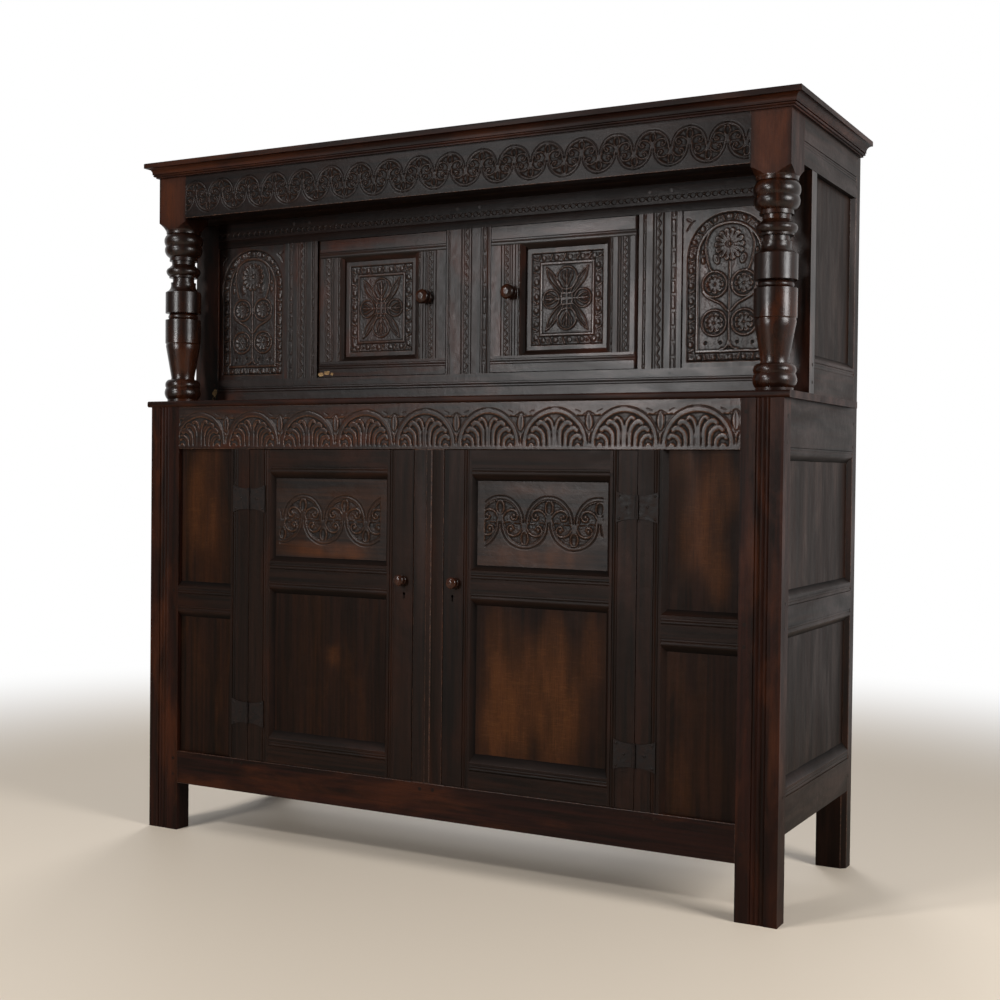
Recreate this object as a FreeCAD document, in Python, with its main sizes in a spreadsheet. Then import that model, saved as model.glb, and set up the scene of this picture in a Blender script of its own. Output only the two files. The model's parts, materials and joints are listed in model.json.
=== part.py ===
import FreeCAD, Part
import math
import os
import Sketcher

# Oak court cupboard in joined frame and panel work, 17th-century form.
# X runs to the viewer's right, Y to the back, Z up. The floor under the middle is the origin.
# The right half is built and the left half is its mirror image.

# Driving sizes in millimetres
SIZES = {
    # whole case
    "case_width": 1650,
    "case_depth": 550,
    "case_height": 1064,
    "upper_stage_height": 617,
    # timber sections
    "stile_width": 90,
    "stile_depth": 45,
    "rear_stile_width": 70,
    "rear_stile_depth": 43,
    "rail_thick": 30,
    "board_thick": 16,
    "back_board_thick": 12,
    "soffit_thick": 12,
    # panels, their grooves and the tenons in line with them
    "panel_setback": 12,
    "panel_thick": 8,
    "groove_depth": 8,
    "panel_play": 0.6,
    "tenon_length": 24,
    "tenon_shoulder": 10,
    # edge mouldings
    "bead_width": 6.5,
    "bead_quirk": 1.5,
    "bead_lip": 6,
    "sill_rise": 12,
    "low_sill_rise": 19,
    "edge_slope": 12,
    "roll_width": 9,
    "edge_chamfer": 10,
    "reed_width": 10,
    "reed_quirk": 2.2,
    "reed_flat": 31.5,
    # front of the lower case
    "lunette_rail_height": 105,
    "lunette_margin": 7,
    "carving_depth": 3,
    "front_rail_low": 119,
    "front_rail_height": 81,
    "floor_rebate": 6,
    "hinge_muntin_width": 65,
    "centre_muntin_width": 79,
    "centre_strip_width": 13,
    "centre_strip_depth": 1.5,
    "bay_rail_low": 539,
    "bay_rail_height": 88.5,
    # sides of the lower case
    "side_top_rail_height": 126,
    "side_mid_rail_low": 575,
    "side_mid_rail_height": 100,
    "side_low_rail_low": 181,
    "side_low_rail_height": 113,
    # back
    "back_rail_height": 70,
    # shelf between the stages
    "shelf_thick": 15,
    "shelf_front_lap": 3,
    "shelf_side_lap": 12,
    "shelf_nosing": 5,
    # lower doors
    "door_gap": 1.5,
    "door_thick": 26,
    "door_hinge_stile": 72,
    "door_lock_stile": 80,
    "door_top_rail": 68.5,
    "door_mid_rail_low": 611,
    "door_mid_rail_height": 90,
    "door_low_rail_height": 77,
    "door_tenon_length": 22,
    # butterfly hinges
    "hinge_upper_level": 838,
    "hinge_lower_level": 316,
    "hinge_leaf_length": 48,
    "hinge_leaf_thick": 2.4,
    "hinge_waist": 50,
    "hinge_end_height": 66,
    "hinge_curve_radius": 88,
    "knuckle_radius": 3.8,
    "knuckle_standoff": 0.6,
    "knuckle_side_gap": 0.8,
    "knuckle_end_gap": 0.3,
    "hinge_pin_radius": 2,
    "hinge_pin_head": 1.5,
    "pin_clearance": 0.08,
    # locks of the lower doors
    "lock_level": 648,
    "keyhole_level": 629,
    "keyhole_radius": 3.2,
    "keyhole_slot": 3,
    "keyhole_drop": 11.5,
    "keyhole_inset": 23,
    "lock_plate_width": 56,
    "lock_plate_height": 100,
    "lock_plate_thick": 2,
    "lock_bed_thick": 2.6,
    "lock_guide_width": 9,
    "lock_guide_wall": 4,
    "bolt_height": 13,
    "bolt_thick": 5,
    "bolt_length": 58,
    "bolt_clearance": 0.3,
    "bolt_withdrawn": 2,
    # knobs
    "knob_level": 660,
    "knob_inset": 28.5,
    "knob_radius": 13,
    "knob_reach": 23,
    "knob_spigot_radius": 5,
    "knob_spigot_length": 14,
    "upper_knob_inset": 54,
    "upper_knob_radius": 17.5,
    "upper_knob_reach": 30,
    # upper stage
    "upper_setback": 24,
    "block_width": 85,
    "block_depth": 87,
    "block_height": 153,
    "block_shoulder_rise": 20,
    "post_radius": 45,
    "post_tenon_radius": 14,
    "frieze_rail_height": 125,
    "side_frieze_height": 119,
    "upper_side_rail_height": 87,
    "recess_setback": 168,
    "end_stile_width": 73,
    "end_stile_depth": 36,
    "recess_base_rail_height": 62,
    "recess_top_rail_height": 63.5,
    "recess_centre_width": 120,
    "recess_muntin_width": 101,
    "recess_base_line": 19,
    "recess_top_line": 20.5,
    "chain_strip_low": 26.5,
    "chain_strip_height": 12,
    "arcade_setback": 5,
    "arcade_sinking": 4,
    "arcade_margin": 34.5,
    "arcade_side_margin": 37.5,
    # upper doors
    "upper_door_lock_stile": 88.5,
    "upper_door_hinge_stile": 77.5,
    "upper_door_top_rail": 56,
    "upper_door_low_rail": 49.5,
    "field_border": 26,
    "field_margin": 12.5,
    "field_raise": 3,
    "field_sinking": 4,
    "pivot_inset": 9,
    "pivot_radius": 4,
    "pivot_length": 18,
    "pivot_end_gap": 0.3,
    # cornice
    "cornice_height": 36,
    "cornice_reach": 28,
    # one overrun for every cut
    "overrun": 5,
}

# Turned post: height shares of the turning, radius shares of the post radius, bend shares.
# A bend share is the bulge of the arc that arrives at the point, as a share of its chord.
POST_SHARES = (
    (0.000, 0.850, 0), (0.018, 0.860, 0), (0.084, 0.930, 0.18), (0.132, 0.800, 0.22),
    (0.134, 0.660, 0), (0.145, 0.640, 0), (0.330, 0.955, 0), (0.342, 0.930, 0),
    (0.348, 0.985, 0), (0.484, 0.990, 0), (0.486, 0.740, 0), (0.518, 0.740, 0.30),
    (0.524, 0.990, 0), (0.645, 0.990, 0), (0.650, 0.930, 0), (0.692, 0.690, -0.16),
    (0.703, 0.700, 0), (0.706, 0.600, 0), (0.730, 0.600, 0), (0.732, 0.790, 0),
    (0.742, 0.800, 0), (0.770, 0.950, 0.14), (0.790, 0.800, 0.14), (0.808, 0.640, 0),
    (0.828, 0.660, 0), (0.830, 0.780, 0), (0.850, 0.770, 0), (0.918, 0.985, 0.22),
    (0.985, 0.900, 0.20), (0.988, 0.960, 0),
)
# Knob: reach shares and radius shares, with bend shares
KNOB_SHARES = (
    (0.00, 0.80, 0), (0.20, 0.80, 0.25), (0.22, 0.48, 0), (0.36, 0.48, -0.12),
    (0.66, 1.00, 0.16), (0.92, 0.66, 0.15), (1.00, 0.28, 0.08),
)
# Cornice section: reach shares and height shares from the wall and the underside
CORNICE_SHARES = (
    (0.22, 0.00, 0), (0.22, 0.10, 0), (0.34, 0.10, 0), (0.34, 0.24, -0.35), (0.46, 0.24, 0),
    (0.46, 0.32, 0), (0.88, 0.66, 0.20), (1.00, 0.66, 0), (1.00, 0.93, 0), (0.94, 1.00, -0.15),
)
# Bend share of a quarter circle
QUARTER = (math.sqrt(2) - 1) / 2
BACK_BOARD_COUNT = 7
FLOOR_BOARD_COUNT = 6
TOP_BOARD_COUNT = 4

doc = FreeCAD.newDocument("CourtCupboard")
sheet = doc.addObject("Spreadsheet::Sheet", "Dims")


class Size:
    """A length with its number and the sheet expression that gives it."""

    def __init__(self, value, text):
        self.value = value
        self.text = text

    def __add__(self, other):
        other = as_size(other)
        return Size(self.value + other.value, f"({self.text} + {other.text})")

    def __sub__(self, other):
        other = as_size(other)
        return Size(self.value - other.value, f"({self.text} - {other.text})")

    def __mul__(self, factor):
        return Size(self.value * factor, f"({self.text} * {factor})")

    def __truediv__(self, factor):
        return Size(self.value / factor, f"({self.text} / {factor})")

    def __neg__(self):
        return Size(-self.value, f"(0 - {self.text})")

    __rmul__ = __mul__


def as_size(item):
    return item if isinstance(item, Size) else Size(item, str(item))


class Dims:
    """The sheet's named sizes, each as a Size."""


dims = Dims()
for row, (alias, number) in enumerate(SIZES.items(), start=1):
    sheet.set(f"A{row}", alias)
    sheet.set(f"B{row}", str(number))
    sheet.setAlias(f"B{row}", alias)
    setattr(dims, alias, Size(number, f"Dims.{alias}"))
doc.recompute()


# Helpers that make bound objects
def bind(item, name, size):
    item.setExpression(name, as_size(size).text)


def place(item, x=0, y=0, z=0, turn=None):
    if turn:
        item.Placement = FreeCAD.Placement(FreeCAD.Vector(), turn)
    for axis, size in (("x", x), ("y", y), ("z", z)):
        if isinstance(size, Size):
            bind(item, "Placement.Base." + axis, size)
    return item


def box(name, x, y, z, dx, dy, dz):
    piece = doc.addObject("Part::Box", name)
    bind(piece, "Length", dx)
    bind(piece, "Width", dy)
    bind(piece, "Height", dz)
    return place(piece, x, y, z)


def rod(name, x, y, z, radius, height):
    piece = doc.addObject("Part::Cylinder", name)
    bind(piece, "Radius", radius)
    bind(piece, "Height", height)
    return place(piece, x, y, z)


def fuse(name, *pieces):
    piece = doc.addObject("Part::MultiFuse", name)
    piece.Shapes = list(pieces)
    return piece


def cut(name, base, *tools):
    piece = doc.addObject("Part::Cut", name)
    piece.Base = base
    piece.Tool = tools[0] if len(tools) == 1 else fuse(name + "_tools", *tools)
    return piece


def common(name, base, tool):
    piece = doc.addObject("Part::Common", name)
    piece.Base = base
    piece.Tool = tool
    return piece


def group(name, *pieces):
    piece = doc.addObject("Part::Compound", name)
    piece.Links = list(pieces)
    return piece


def mirror(name, source):
    piece = doc.addObject("Part::Mirroring", name)
    piece.Source = source
    piece.Normal = FreeCAD.Vector(1, 0, 0)
    return piece


def chord_radius(start, end, bend):
    """Radius of an arc whose bulge is a share of its chord, as a Size."""
    run = as_size(end[0]) - start[0]
    rise = as_size(end[1]) - start[1]
    chord = math.hypot(run.value, rise.value)
    factor = 1 / (8 * abs(bend)) + abs(bend) / 2
    return Size(chord * factor, f"(sqrt({run.text} ^ 2 + {rise.text} ^ 2) * {factor})")


def arc_edge(start, end, radius, bend):
    """Arc between two points; a positive bend bulges to the right of the way travelled."""
    middle = (start + end) * 0.5
    along = end - start
    left = FreeCAD.Vector(-along.y, along.x, 0).normalize()
    side = 1 if bend > 0 else -1
    rise = math.sqrt(max(radius * radius - along.Length * along.Length / 4, 0))
    centre = middle + left * (side * rise)
    first, last = (start, end) if bend > 0 else (end, start)
    angles = [math.atan2(point.y - centre.y, point.x - centre.x) for point in (first, last)]
    circle = Part.Circle(centre, FreeCAD.Vector(0, 0, 1), radius)
    return Part.ArcOfCircle(circle, angles[0], angles[1])


def draw(sketch, outline):
    """Closed outline of (u, v, bend share) points, every point held by the sheet."""
    count = len(outline)
    spots = [FreeCAD.Vector(as_size(item[0]).value, as_size(item[1]).value, 0) for item in outline]
    ends = []
    for index in range(count):
        following = (index + 1) % count
        bend = outline[following][2] if len(outline[following]) > 2 else 0
        if bend:
            radius = chord_radius(outline[index], outline[following], bend)
            sketch.addGeometry(arc_edge(spots[index], spots[following], radius.value, bend))
            held = sketch.addConstraint(Sketcher.Constraint("Radius", index, radius.value))
            bind(sketch, f"Constraints[{held}]", radius)
        else:
            sketch.addGeometry(Part.LineSegment(spots[index], spots[following]))
        ends.append((2, 1) if bend < 0 else (1, 2))
    for index in range(count):
        following = (index + 1) % count
        joint = (index, ends[index][1], following, ends[following][0])
        sketch.addConstraint(Sketcher.Constraint("Coincident", *joint))
        spot = (index, ends[index][0])
        for kind, size, zero_axis in (("DistanceX", outline[index][0], -2),
                                      ("DistanceY", outline[index][1], -1)):
            if isinstance(size, Size):
                held = sketch.addConstraint(Sketcher.Constraint(kind, -1, 1, *spot, size.value))
                bind(sketch, f"Constraints[{held}]", size)
            else:
                sketch.addConstraint(Sketcher.Constraint("PointOnObject", *spot, zero_axis))


def profile(name, plane, outline):
    body = doc.addObject("PartDesign::Body", name)
    sketch = body.newObject("Sketcher::SketchObject", name + "_outline")
    origin_plane = next(item for item in body.Origin.OriginFeatures if item.Role == plane)
    sketch.AttachmentSupport = [(origin_plane, "")]
    sketch.MapMode = "FlatFace"
    draw(sketch, outline)
    return body, sketch


def extrude(name, plane, outline, length):
    body, sketch = profile(name, plane, outline)
    pad = body.newObject("PartDesign::Pad", name + "_pad")
    pad.Profile = sketch
    bind(pad, "Length", length)
    return body


def revolve(name, outline):
    """Solid of revolution about the body's Z axis."""
    body, sketch = profile(name, "XZ_Plane", outline)
    turning = body.newObject("PartDesign::Revolution", name + "_turning")
    turning.Profile = sketch
    turning.ReferenceAxis = (sketch, ["V_Axis"])
    turning.Angle = 360
    return body


NODES = {}


def register(label, piece):
    piece.Label = label
    NODES[label] = piece
    return piece


def keep(label, piece):
    """Make a piece a node of the part, with the origin under the middle of the whole."""
    if piece.TypeId in ("Part::Box", "PartDesign::Body"):
        piece = group(label + "_piece", piece)
    place(piece, 0, -(dims.case_depth - dims.knob_reach) / 2)
    return register(label, piece)


def keep_pair(label, piece):
    right = keep(label + "_right", piece)
    register(label + "_left", mirror(label + "_left_copy", right))


SIDE_TURN = FreeCAD.Rotation(FreeCAD.Vector(0, 0, 1), 90)
FRONT_TURN = FreeCAD.Rotation(FreeCAD.Vector(1, 0, 0), 90)
TOP_ENDED = "top"
LOW_ENDED = "low"

# Shares of the open width that the doors take; bays and end panels have the rest
DOOR_SHARE = 0.75
UPPER_DOOR_SHARE = 0.636
# Height of the upper knobs as a share of their doors
UPPER_KNOB_SHARE = 0.544

# Levels and places that several pieces share
half_width = dims.case_width / 2
stile_inner = half_width - dims.stile_width
frieze_rail_low = dims.case_height - dims.lunette_rail_height
front_rail_top = dims.front_rail_low + dims.front_rail_height
centre_edge = dims.centre_muntin_width / 2
door_opening = (stile_inner - centre_edge - dims.hinge_muntin_width) * DOOR_SHARE
hinge_edge = centre_edge + door_opening
bay_edge = hinge_edge + dims.hinge_muntin_width
rear_stile_front = dims.case_depth - dims.rear_stile_depth
rear_stile_inner = half_width - dims.rear_stile_width
shelf_top = dims.case_height + dims.shelf_thick
full_height = dims.case_height + dims.upper_stage_height
frame_top = full_height - dims.board_thick
cornice_low = full_height - dims.cornice_height
block_shoulder_low = frame_top - dims.block_height
frieze_low = frame_top - dims.frieze_rail_height
side_frieze_low = frame_top - dims.side_frieze_height
recess_top_rail_low = side_frieze_low - dims.recess_top_rail_height
back_board_front = dims.case_depth - dims.back_board_thick
back_rail_front = back_board_front - dims.rail_thick
side_rail_inner = half_width - dims.rail_thick
block_inner = half_width - dims.block_width
block_back = dims.upper_setback + dims.block_depth
recess_base_top = shelf_top + dims.recess_base_rail_height
end_stile_inner = half_width - dims.end_stile_width
end_stile_back = dims.recess_setback + dims.end_stile_depth
recess_centre_edge = dims.recess_centre_width / 2
upper_door_opening = (end_stile_inner - recess_centre_edge - dims.recess_muntin_width) * UPPER_DOOR_SHARE
upper_hinge_edge = recess_centre_edge + upper_door_opening
arcade_edge = upper_hinge_edge + dims.recess_muntin_width
upper_knob_level = recess_base_top + (recess_top_rail_low - recess_base_top) * UPPER_KNOB_SHARE
panel_bite = dims.groove_depth - dims.panel_play
panel_back = dims.panel_setback + dims.panel_thick
bead_band = dims.bead_width * 2


def front_beads(level, sink=0):
    """Two scratched beads below a level, as (depth, height) points going down the face."""
    face = as_size(sink)
    floor = face + dims.bead_quirk
    return [
        (face if isinstance(sink, Size) else 0, level),
        (floor, level),
        (floor, level - dims.bead_width, 0.17),
        (floor, level - bead_band, 0.17),
        (face if isinstance(sink, Size) else 0, level - bead_band),
    ]


def rail_outline(height, thick, sill=None, top_beads=False, rolled_edge=False,
                 top_groove=False, low_groove=False, floor_rebate=False):
    """Section of a horizontal rail: depth from the face, height from its underside."""
    outline = [(0, 0)]
    if rolled_edge:
        outline = [(dims.bead_quirk, dims.edge_slope, 0.165), (dims.panel_setback, 0)]
    elif low_groove:
        outline.append((dims.panel_setback, 0))
    if low_groove:
        outline += [(dims.panel_setback, dims.groove_depth), (panel_back, dims.groove_depth),
                    (panel_back, 0)]
    outline.append((thick, 0))
    if floor_rebate:
        shelf = height - dims.board_thick
        outline += [(thick, shelf), (thick - dims.floor_rebate, shelf),
                    (thick - dims.floor_rebate, height)]
    else:
        outline.append((thick, height))
    if top_groove:
        outline += [(panel_back, height), (panel_back, height - dims.groove_depth),
                    (dims.panel_setback, height - dims.groove_depth)]
    top = height
    if sill:
        outline.append((dims.panel_setback, height))
        top = height - sill
        outline.append((0, top))
    else:
        if top_groove:
            outline.append((dims.panel_setback, height))
        outline.append((0, height))
    if top_beads:
        outline += front_beads(top - dims.bead_lip)
    if rolled_edge:
        roll_top = dims.edge_slope + dims.roll_width
        outline += [(0, roll_top + dims.bead_width), (dims.bead_quirk, roll_top + dims.bead_width),
                    (dims.bead_quirk, roll_top, 0.17)]
    return outline


def tenon(name, x, face_y, low, height, length=None):
    """Tenon along X from x, in line with the panel groove behind face_y."""
    length = length or dims.tenon_length
    return box(name, x, face_y + dims.panel_setback, low + dims.tenon_shoulder,
               length, dims.panel_thick, height - dims.tenon_shoulder * 2)


def side_tenon(name, y, low, height, length=None):
    """Tenon along Y from y in the right side frame."""
    length = length or dims.tenon_length
    return box(name, half_width - panel_back, y, low + dims.tenon_shoulder,
               dims.panel_thick, length, height - dims.tenon_shoulder * 2)


# Lower case, front stiles with a reeded band down the face
def front_stile():
    flat = dims.reed_flat
    floor = dims.reed_quirk
    outline = [(0, 0), (flat, 0), (flat, floor)]
    outline += [(flat + dims.reed_width * count, floor, 0.2) for count in (1, 2, 3)]
    outline += [(flat + dims.reed_width * 3, 0), (dims.stile_width, 0),
                (dims.stile_width, dims.stile_depth), (0, dims.stile_depth)]
    blank = place(extrude("front_stile_blank", "XY_Plane", outline, dims.case_height), stile_inner)
    x = stile_inner
    mortises = [
        tenon("stile_mortise_top", x, as_size(0), frieze_rail_low, dims.lunette_rail_height),
        tenon("stile_mortise_low", x, as_size(0), dims.front_rail_low, dims.front_rail_height),
        tenon("stile_mortise_bay", x, as_size(0), dims.bay_rail_low, dims.bay_rail_height),
        box("stile_groove", x, dims.panel_setback, front_rail_top - dims.groove_depth,
            dims.groove_depth, dims.panel_thick, frieze_rail_low - front_rail_top + dims.groove_depth * 2),
    ]
    back = dims.stile_depth
    for tag, low, height in side_rails_at():
        mortises.append(side_tenon("stile_side_mortise_" + tag, back - dims.tenon_length, low, height))
    mortises.append(side_groove("stile_side_groove", back - dims.groove_depth))
    return cut("front_stile", blank, *mortises)


def side_rails_at():
    """Tag, underside and height of the three rails in each lower side."""
    top_low = dims.case_height - dims.side_top_rail_height
    return (("top", top_low, dims.side_top_rail_height),
            ("mid", dims.side_mid_rail_low, dims.side_mid_rail_height),
            ("low", dims.side_low_rail_low, dims.side_low_rail_height))


def side_groove(name, y):
    """Panel groove in a stile, run on past the rails' edges as far as it is deep."""
    low = dims.side_low_rail_low + dims.side_low_rail_height - dims.groove_depth
    high = dims.case_height - dims.side_top_rail_height + dims.groove_depth
    return box(name, half_width - panel_back, y, low, dims.panel_thick, dims.groove_depth, high - low)


keep_pair("front_stile", front_stile())


# Rear stiles run the full height of both stages, with a chamfer beside the side panels
def rear_stile():
    chamfer = dims.edge_chamfer
    outline = [(0, 0), (dims.rear_stile_width - dims.panel_setback, 0),
               (dims.rear_stile_width, chamfer), (dims.rear_stile_width, dims.rear_stile_depth),
               (0, dims.rear_stile_depth)]
    blank = place(extrude("rear_stile_blank", "XY_Plane", outline, frame_top),
                  rear_stile_inner, rear_stile_front)
    cuts = [side_tenon("rear_mortise_" + tag, rear_stile_front, low, height)
            for tag, low, height in side_rails_at()]
    cuts.append(side_groove("rear_groove", rear_stile_front))
    cuts.append(side_tenon("rear_mortise_frieze", rear_stile_front, side_frieze_low,
                           dims.side_frieze_height))
    cuts.append(side_tenon("rear_mortise_base", rear_stile_front, shelf_top,
                           dims.upper_side_rail_height))
    upper_low = shelf_top + dims.upper_side_rail_height
    cuts.append(box("rear_groove_upper", half_width - panel_back, rear_stile_front,
                    upper_low - dims.groove_depth, dims.panel_thick, dims.groove_depth,
                    side_frieze_low - upper_low + dims.groove_depth * 2))
    for tag, low in back_rails_at():
        cuts.append(back_tenon("rear_back_mortise_" + tag, rear_stile_inner, low))
    return blank, cut("rear_stile", blank, *cuts)


def back_rails_at():
    """Tag and underside of the three rails behind the cupboard."""
    return (("low", dims.side_low_rail_low), ("mid", dims.case_height - dims.back_rail_height),
            ("top", frame_top - dims.back_rail_height))


def back_tenon(name, x, low):
    return box(name, x, back_rail_front + dims.tenon_shoulder, low + dims.tenon_shoulder,
               dims.tenon_length, dims.panel_thick, dims.back_rail_height - dims.tenon_shoulder * 2)


rear_blank, rear_piece = rear_stile()
keep_pair("rear_stile", rear_piece)


# Rails between the front stiles
def front_rail(name, low, outline, height):
    rail = place(extrude(name + "_run", "YZ_Plane", outline, stile_inner * 2), -stile_inner, 0, low)
    right = tenon(name + "_tenon_right", stile_inner, as_size(0), low, height)
    left = tenon(name + "_tenon_left", -stile_inner - dims.tenon_length, as_size(0), low, height)
    return fuse(name, rail, right, left)


def lunette_outline():
    """Frieze rail section with the sunk ground of its carving and the panel groove."""
    outline = rail_outline(dims.lunette_rail_height, dims.rail_thick)
    margin = dims.lunette_margin
    depth = dims.carving_depth
    return outline + [(0, dims.lunette_rail_height - margin), (depth, dims.lunette_rail_height - margin),
                      (depth, margin), (0, margin)]


lunette_run = front_rail("lunette_rail_piece", frieze_rail_low, lunette_outline(),
                         dims.lunette_rail_height)
bottom_run = front_rail("front_bottom_rail_piece", dims.front_rail_low,
                        rail_outline(dims.front_rail_height, dims.rail_thick, floor_rebate=True),
                        dims.front_rail_height)


# Muntins of the lower front, tenoned into the rails above and below
def muntin_tenons(name, x, width, face_y, low, high):
    inset = dims.tenon_shoulder
    foot = box(name + "_foot", x + inset, face_y + dims.panel_setback, low - dims.tenon_length,
               width - inset * 2, dims.panel_thick, dims.tenon_length)
    head = box(name + "_head", x + inset, face_y + dims.panel_setback, high,
               width - inset * 2, dims.panel_thick, dims.tenon_length)
    return foot, head


def hinge_muntin():
    width = dims.hinge_muntin_width
    chamfer = dims.edge_chamfer
    floor = dims.bead_quirk
    start = width - chamfer - dims.bead_lip - bead_band
    outline = [(0, 0), (start, 0), (start, floor), (start + dims.bead_width, floor, 0.17),
               (start + bead_band, floor, 0.17), (start + bead_band, 0),
               (width - chamfer, 0), (width, dims.panel_setback), (width, dims.rail_thick),
               (0, dims.rail_thick)]
    height = frieze_rail_low - front_rail_top
    blank = place(extrude("hinge_muntin_blank", "XY_Plane", outline, height),
                  hinge_edge, 0, front_rail_top)
    edge = hinge_edge + width
    groove = box("hinge_muntin_groove", edge - dims.groove_depth, dims.panel_setback, front_rail_top,
                 dims.groove_depth, dims.panel_thick, height)
    mortise = tenon("hinge_muntin_mortise", edge - dims.tenon_length, as_size(0),
                    dims.bay_rail_low, dims.bay_rail_height)
    tenons = muntin_tenons("hinge_muntin_tenon", hinge_edge, width, as_size(0),
                           front_rail_top, frieze_rail_low)
    return blank, tenons, fuse("hinge_muntin", cut("hinge_muntin_cut", blank, groove, mortise), *tenons)


muntin_blank, muntin_tips, muntin_piece = hinge_muntin()
keep_pair("hinge_muntin", muntin_piece)
muntin_tips_left = [mirror(item.Name + "_left", item) for item in muntin_tips]


def centre_muntin():
    edge = centre_edge
    strip = dims.centre_strip_width / 2
    depth = dims.centre_strip_depth
    bead = dims.bead_width
    outline = [(-edge, 0), (-strip - bead, 0), (-strip, depth), (-strip, 0), (strip, 0),
               (strip, depth), (strip + bead, 0), (edge, 0), (edge, dims.rail_thick),
               (-edge, dims.rail_thick)]
    height = frieze_rail_low - front_rail_top
    run = place(extrude("centre_muntin_run", "XY_Plane", outline, height), 0, 0, front_rail_top)
    tenons = muntin_tenons("centre_muntin_tenon", -edge, edge * 2, as_size(0),
                           front_rail_top, frieze_rail_low)
    return tenons, fuse("centre_muntin_piece", run, *tenons)


centre_tips, centre_piece = centre_muntin()
keep("centre_muntin", centre_piece)
head_tools = [muntin_tips[1], muntin_tips_left[1], centre_tips[1]]
foot_tools = [muntin_tips[0], muntin_tips_left[0], centre_tips[0]]
# The fixed bays' panels enter a groove in the lunette rail and in the bottom rail
for tag, sign in (("right", 1), ("left", -1)):
    for place_tag, level, tools in (("head", frieze_rail_low, head_tools),
                                    ("foot", front_rail_top - dims.groove_depth, foot_tools)):
        start = bay_edge - dims.groove_depth if sign > 0 else -stile_inner
        tools.append(box(f"bay_{place_tag}_groove_{tag}", start, dims.panel_setback, level,
                         stile_inner - bay_edge + dims.groove_depth, dims.panel_thick,
                         dims.groove_depth))
keep("lunette_rail", cut("lunette_rail_cut", lunette_run, *head_tools))
keep("front_bottom_rail", cut("front_bottom_rail_cut", bottom_run, *foot_tools))


# Fixed bays beside the doors: a moulded rail between two panels
def bay_rail():
    width = stile_inner - bay_edge
    outline = rail_outline(dims.bay_rail_height, dims.rail_thick, sill=dims.sill_rise,
                           top_beads=True, rolled_edge=True, top_groove=True, low_groove=True)
    overlap = dims.edge_chamfer
    run = place(extrude("bay_rail_run", "YZ_Plane", outline, width + overlap),
                bay_edge - overlap, 0, dims.bay_rail_low)
    body = cut("bay_rail_scribed", run, muntin_blank)
    outer = tenon("bay_rail_tenon_outer", stile_inner, as_size(0), dims.bay_rail_low,
                  dims.bay_rail_height)
    inner = tenon("bay_rail_tenon_inner", bay_edge - dims.tenon_length, as_size(0),
                  dims.bay_rail_low, dims.bay_rail_height)
    return fuse("bay_rail", body, outer, inner)


bay_right = bay_rail()
keep("bay_rails", group("bay_rails_pair", bay_right, mirror("bay_rail_left", bay_right)))


def bay_panels():
    x = bay_edge - panel_bite
    width = stile_inner - bay_edge + panel_bite * 2
    rail_top = dims.bay_rail_low + dims.bay_rail_height
    pieces = []
    for tag, low, high in (("lower", front_rail_top, dims.bay_rail_low),
                           ("upper", rail_top, frieze_rail_low)):
        pieces.append(box("bay_panel_" + tag, x, dims.panel_setback, low - panel_bite,
                          width, dims.panel_thick, high - low + panel_bite * 2))
    return group("bay_panels", *pieces)


keep_pair("bay_panels", bay_panels())


# Sides of the lower case
def side_rails():
    run = rear_stile_front - dims.stile_depth
    looks = {
        "top": dict(rolled_edge=True, low_groove=True),
        "mid": dict(sill=dims.sill_rise, top_beads=True, rolled_edge=True, top_groove=True,
                    low_groove=True),
        "low": dict(sill=dims.low_sill_rise, top_beads=True, top_groove=True),
    }
    pieces = []
    for tag, low, height in side_rails_at():
        outline = rail_outline(height, dims.rail_thick, **looks[tag])
        length = run + dims.edge_chamfer
        rail = place(extrude(f"side_{tag}_rail_run", "YZ_Plane", outline, length),
                     half_width, dims.stile_depth, low, SIDE_TURN)
        scribed = cut(f"side_{tag}_rail_scribed", rail, rear_blank)
        front = side_tenon(f"side_{tag}_tenon_front", dims.stile_depth - dims.tenon_length, low, height)
        rear = side_tenon(f"side_{tag}_tenon_rear", rear_stile_front, low, height)
        pieces.append(fuse(f"side_{tag}_rail", scribed, front, rear))
    return group("side_rails", *pieces)


keep_pair("side_rails", side_rails())


def side_panels():
    y = dims.stile_depth - panel_bite
    length = rear_stile_front - dims.stile_depth + panel_bite * 2
    spans = (("lower", dims.side_low_rail_low + dims.side_low_rail_height, dims.side_mid_rail_low),
             ("upper", dims.side_mid_rail_low + dims.side_mid_rail_height,
              dims.case_height - dims.side_top_rail_height))
    pieces = [box("side_panel_" + tag, half_width - panel_back, y, low - panel_bite,
                  dims.panel_thick, length, high - low + panel_bite * 2)
              for tag, low, high in spans]
    return group("side_panels", *pieces)


keep_pair("side_panels", side_panels())


# Back: three rails between the rear stiles and upright boards nailed to them
def back_rail(tag, low):
    width = rear_stile_inner * 2
    rail = box(f"back_{tag}_rail_run", -rear_stile_inner, back_rail_front, low,
               width, dims.rail_thick, dims.back_rail_height)
    right = back_tenon(f"back_{tag}_tenon_right", rear_stile_inner, low)
    piece = fuse(f"back_{tag}_rail", rail, right, mirror(f"back_{tag}_tenon_left", right))
    if tag != "low":
        return piece
    seat = box("back_low_seat", -rear_stile_inner, back_rail_front, floor_low,
               width, dims.floor_rebate, dims.board_thick + dims.back_rail_height)
    return cut("back_low_rail_seated", piece, seat)


floor_low = front_rail_top - dims.board_thick
keep("back_rails", group("back_rails_set", *[back_rail(tag, low) for tag, low in back_rails_at()]))


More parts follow.
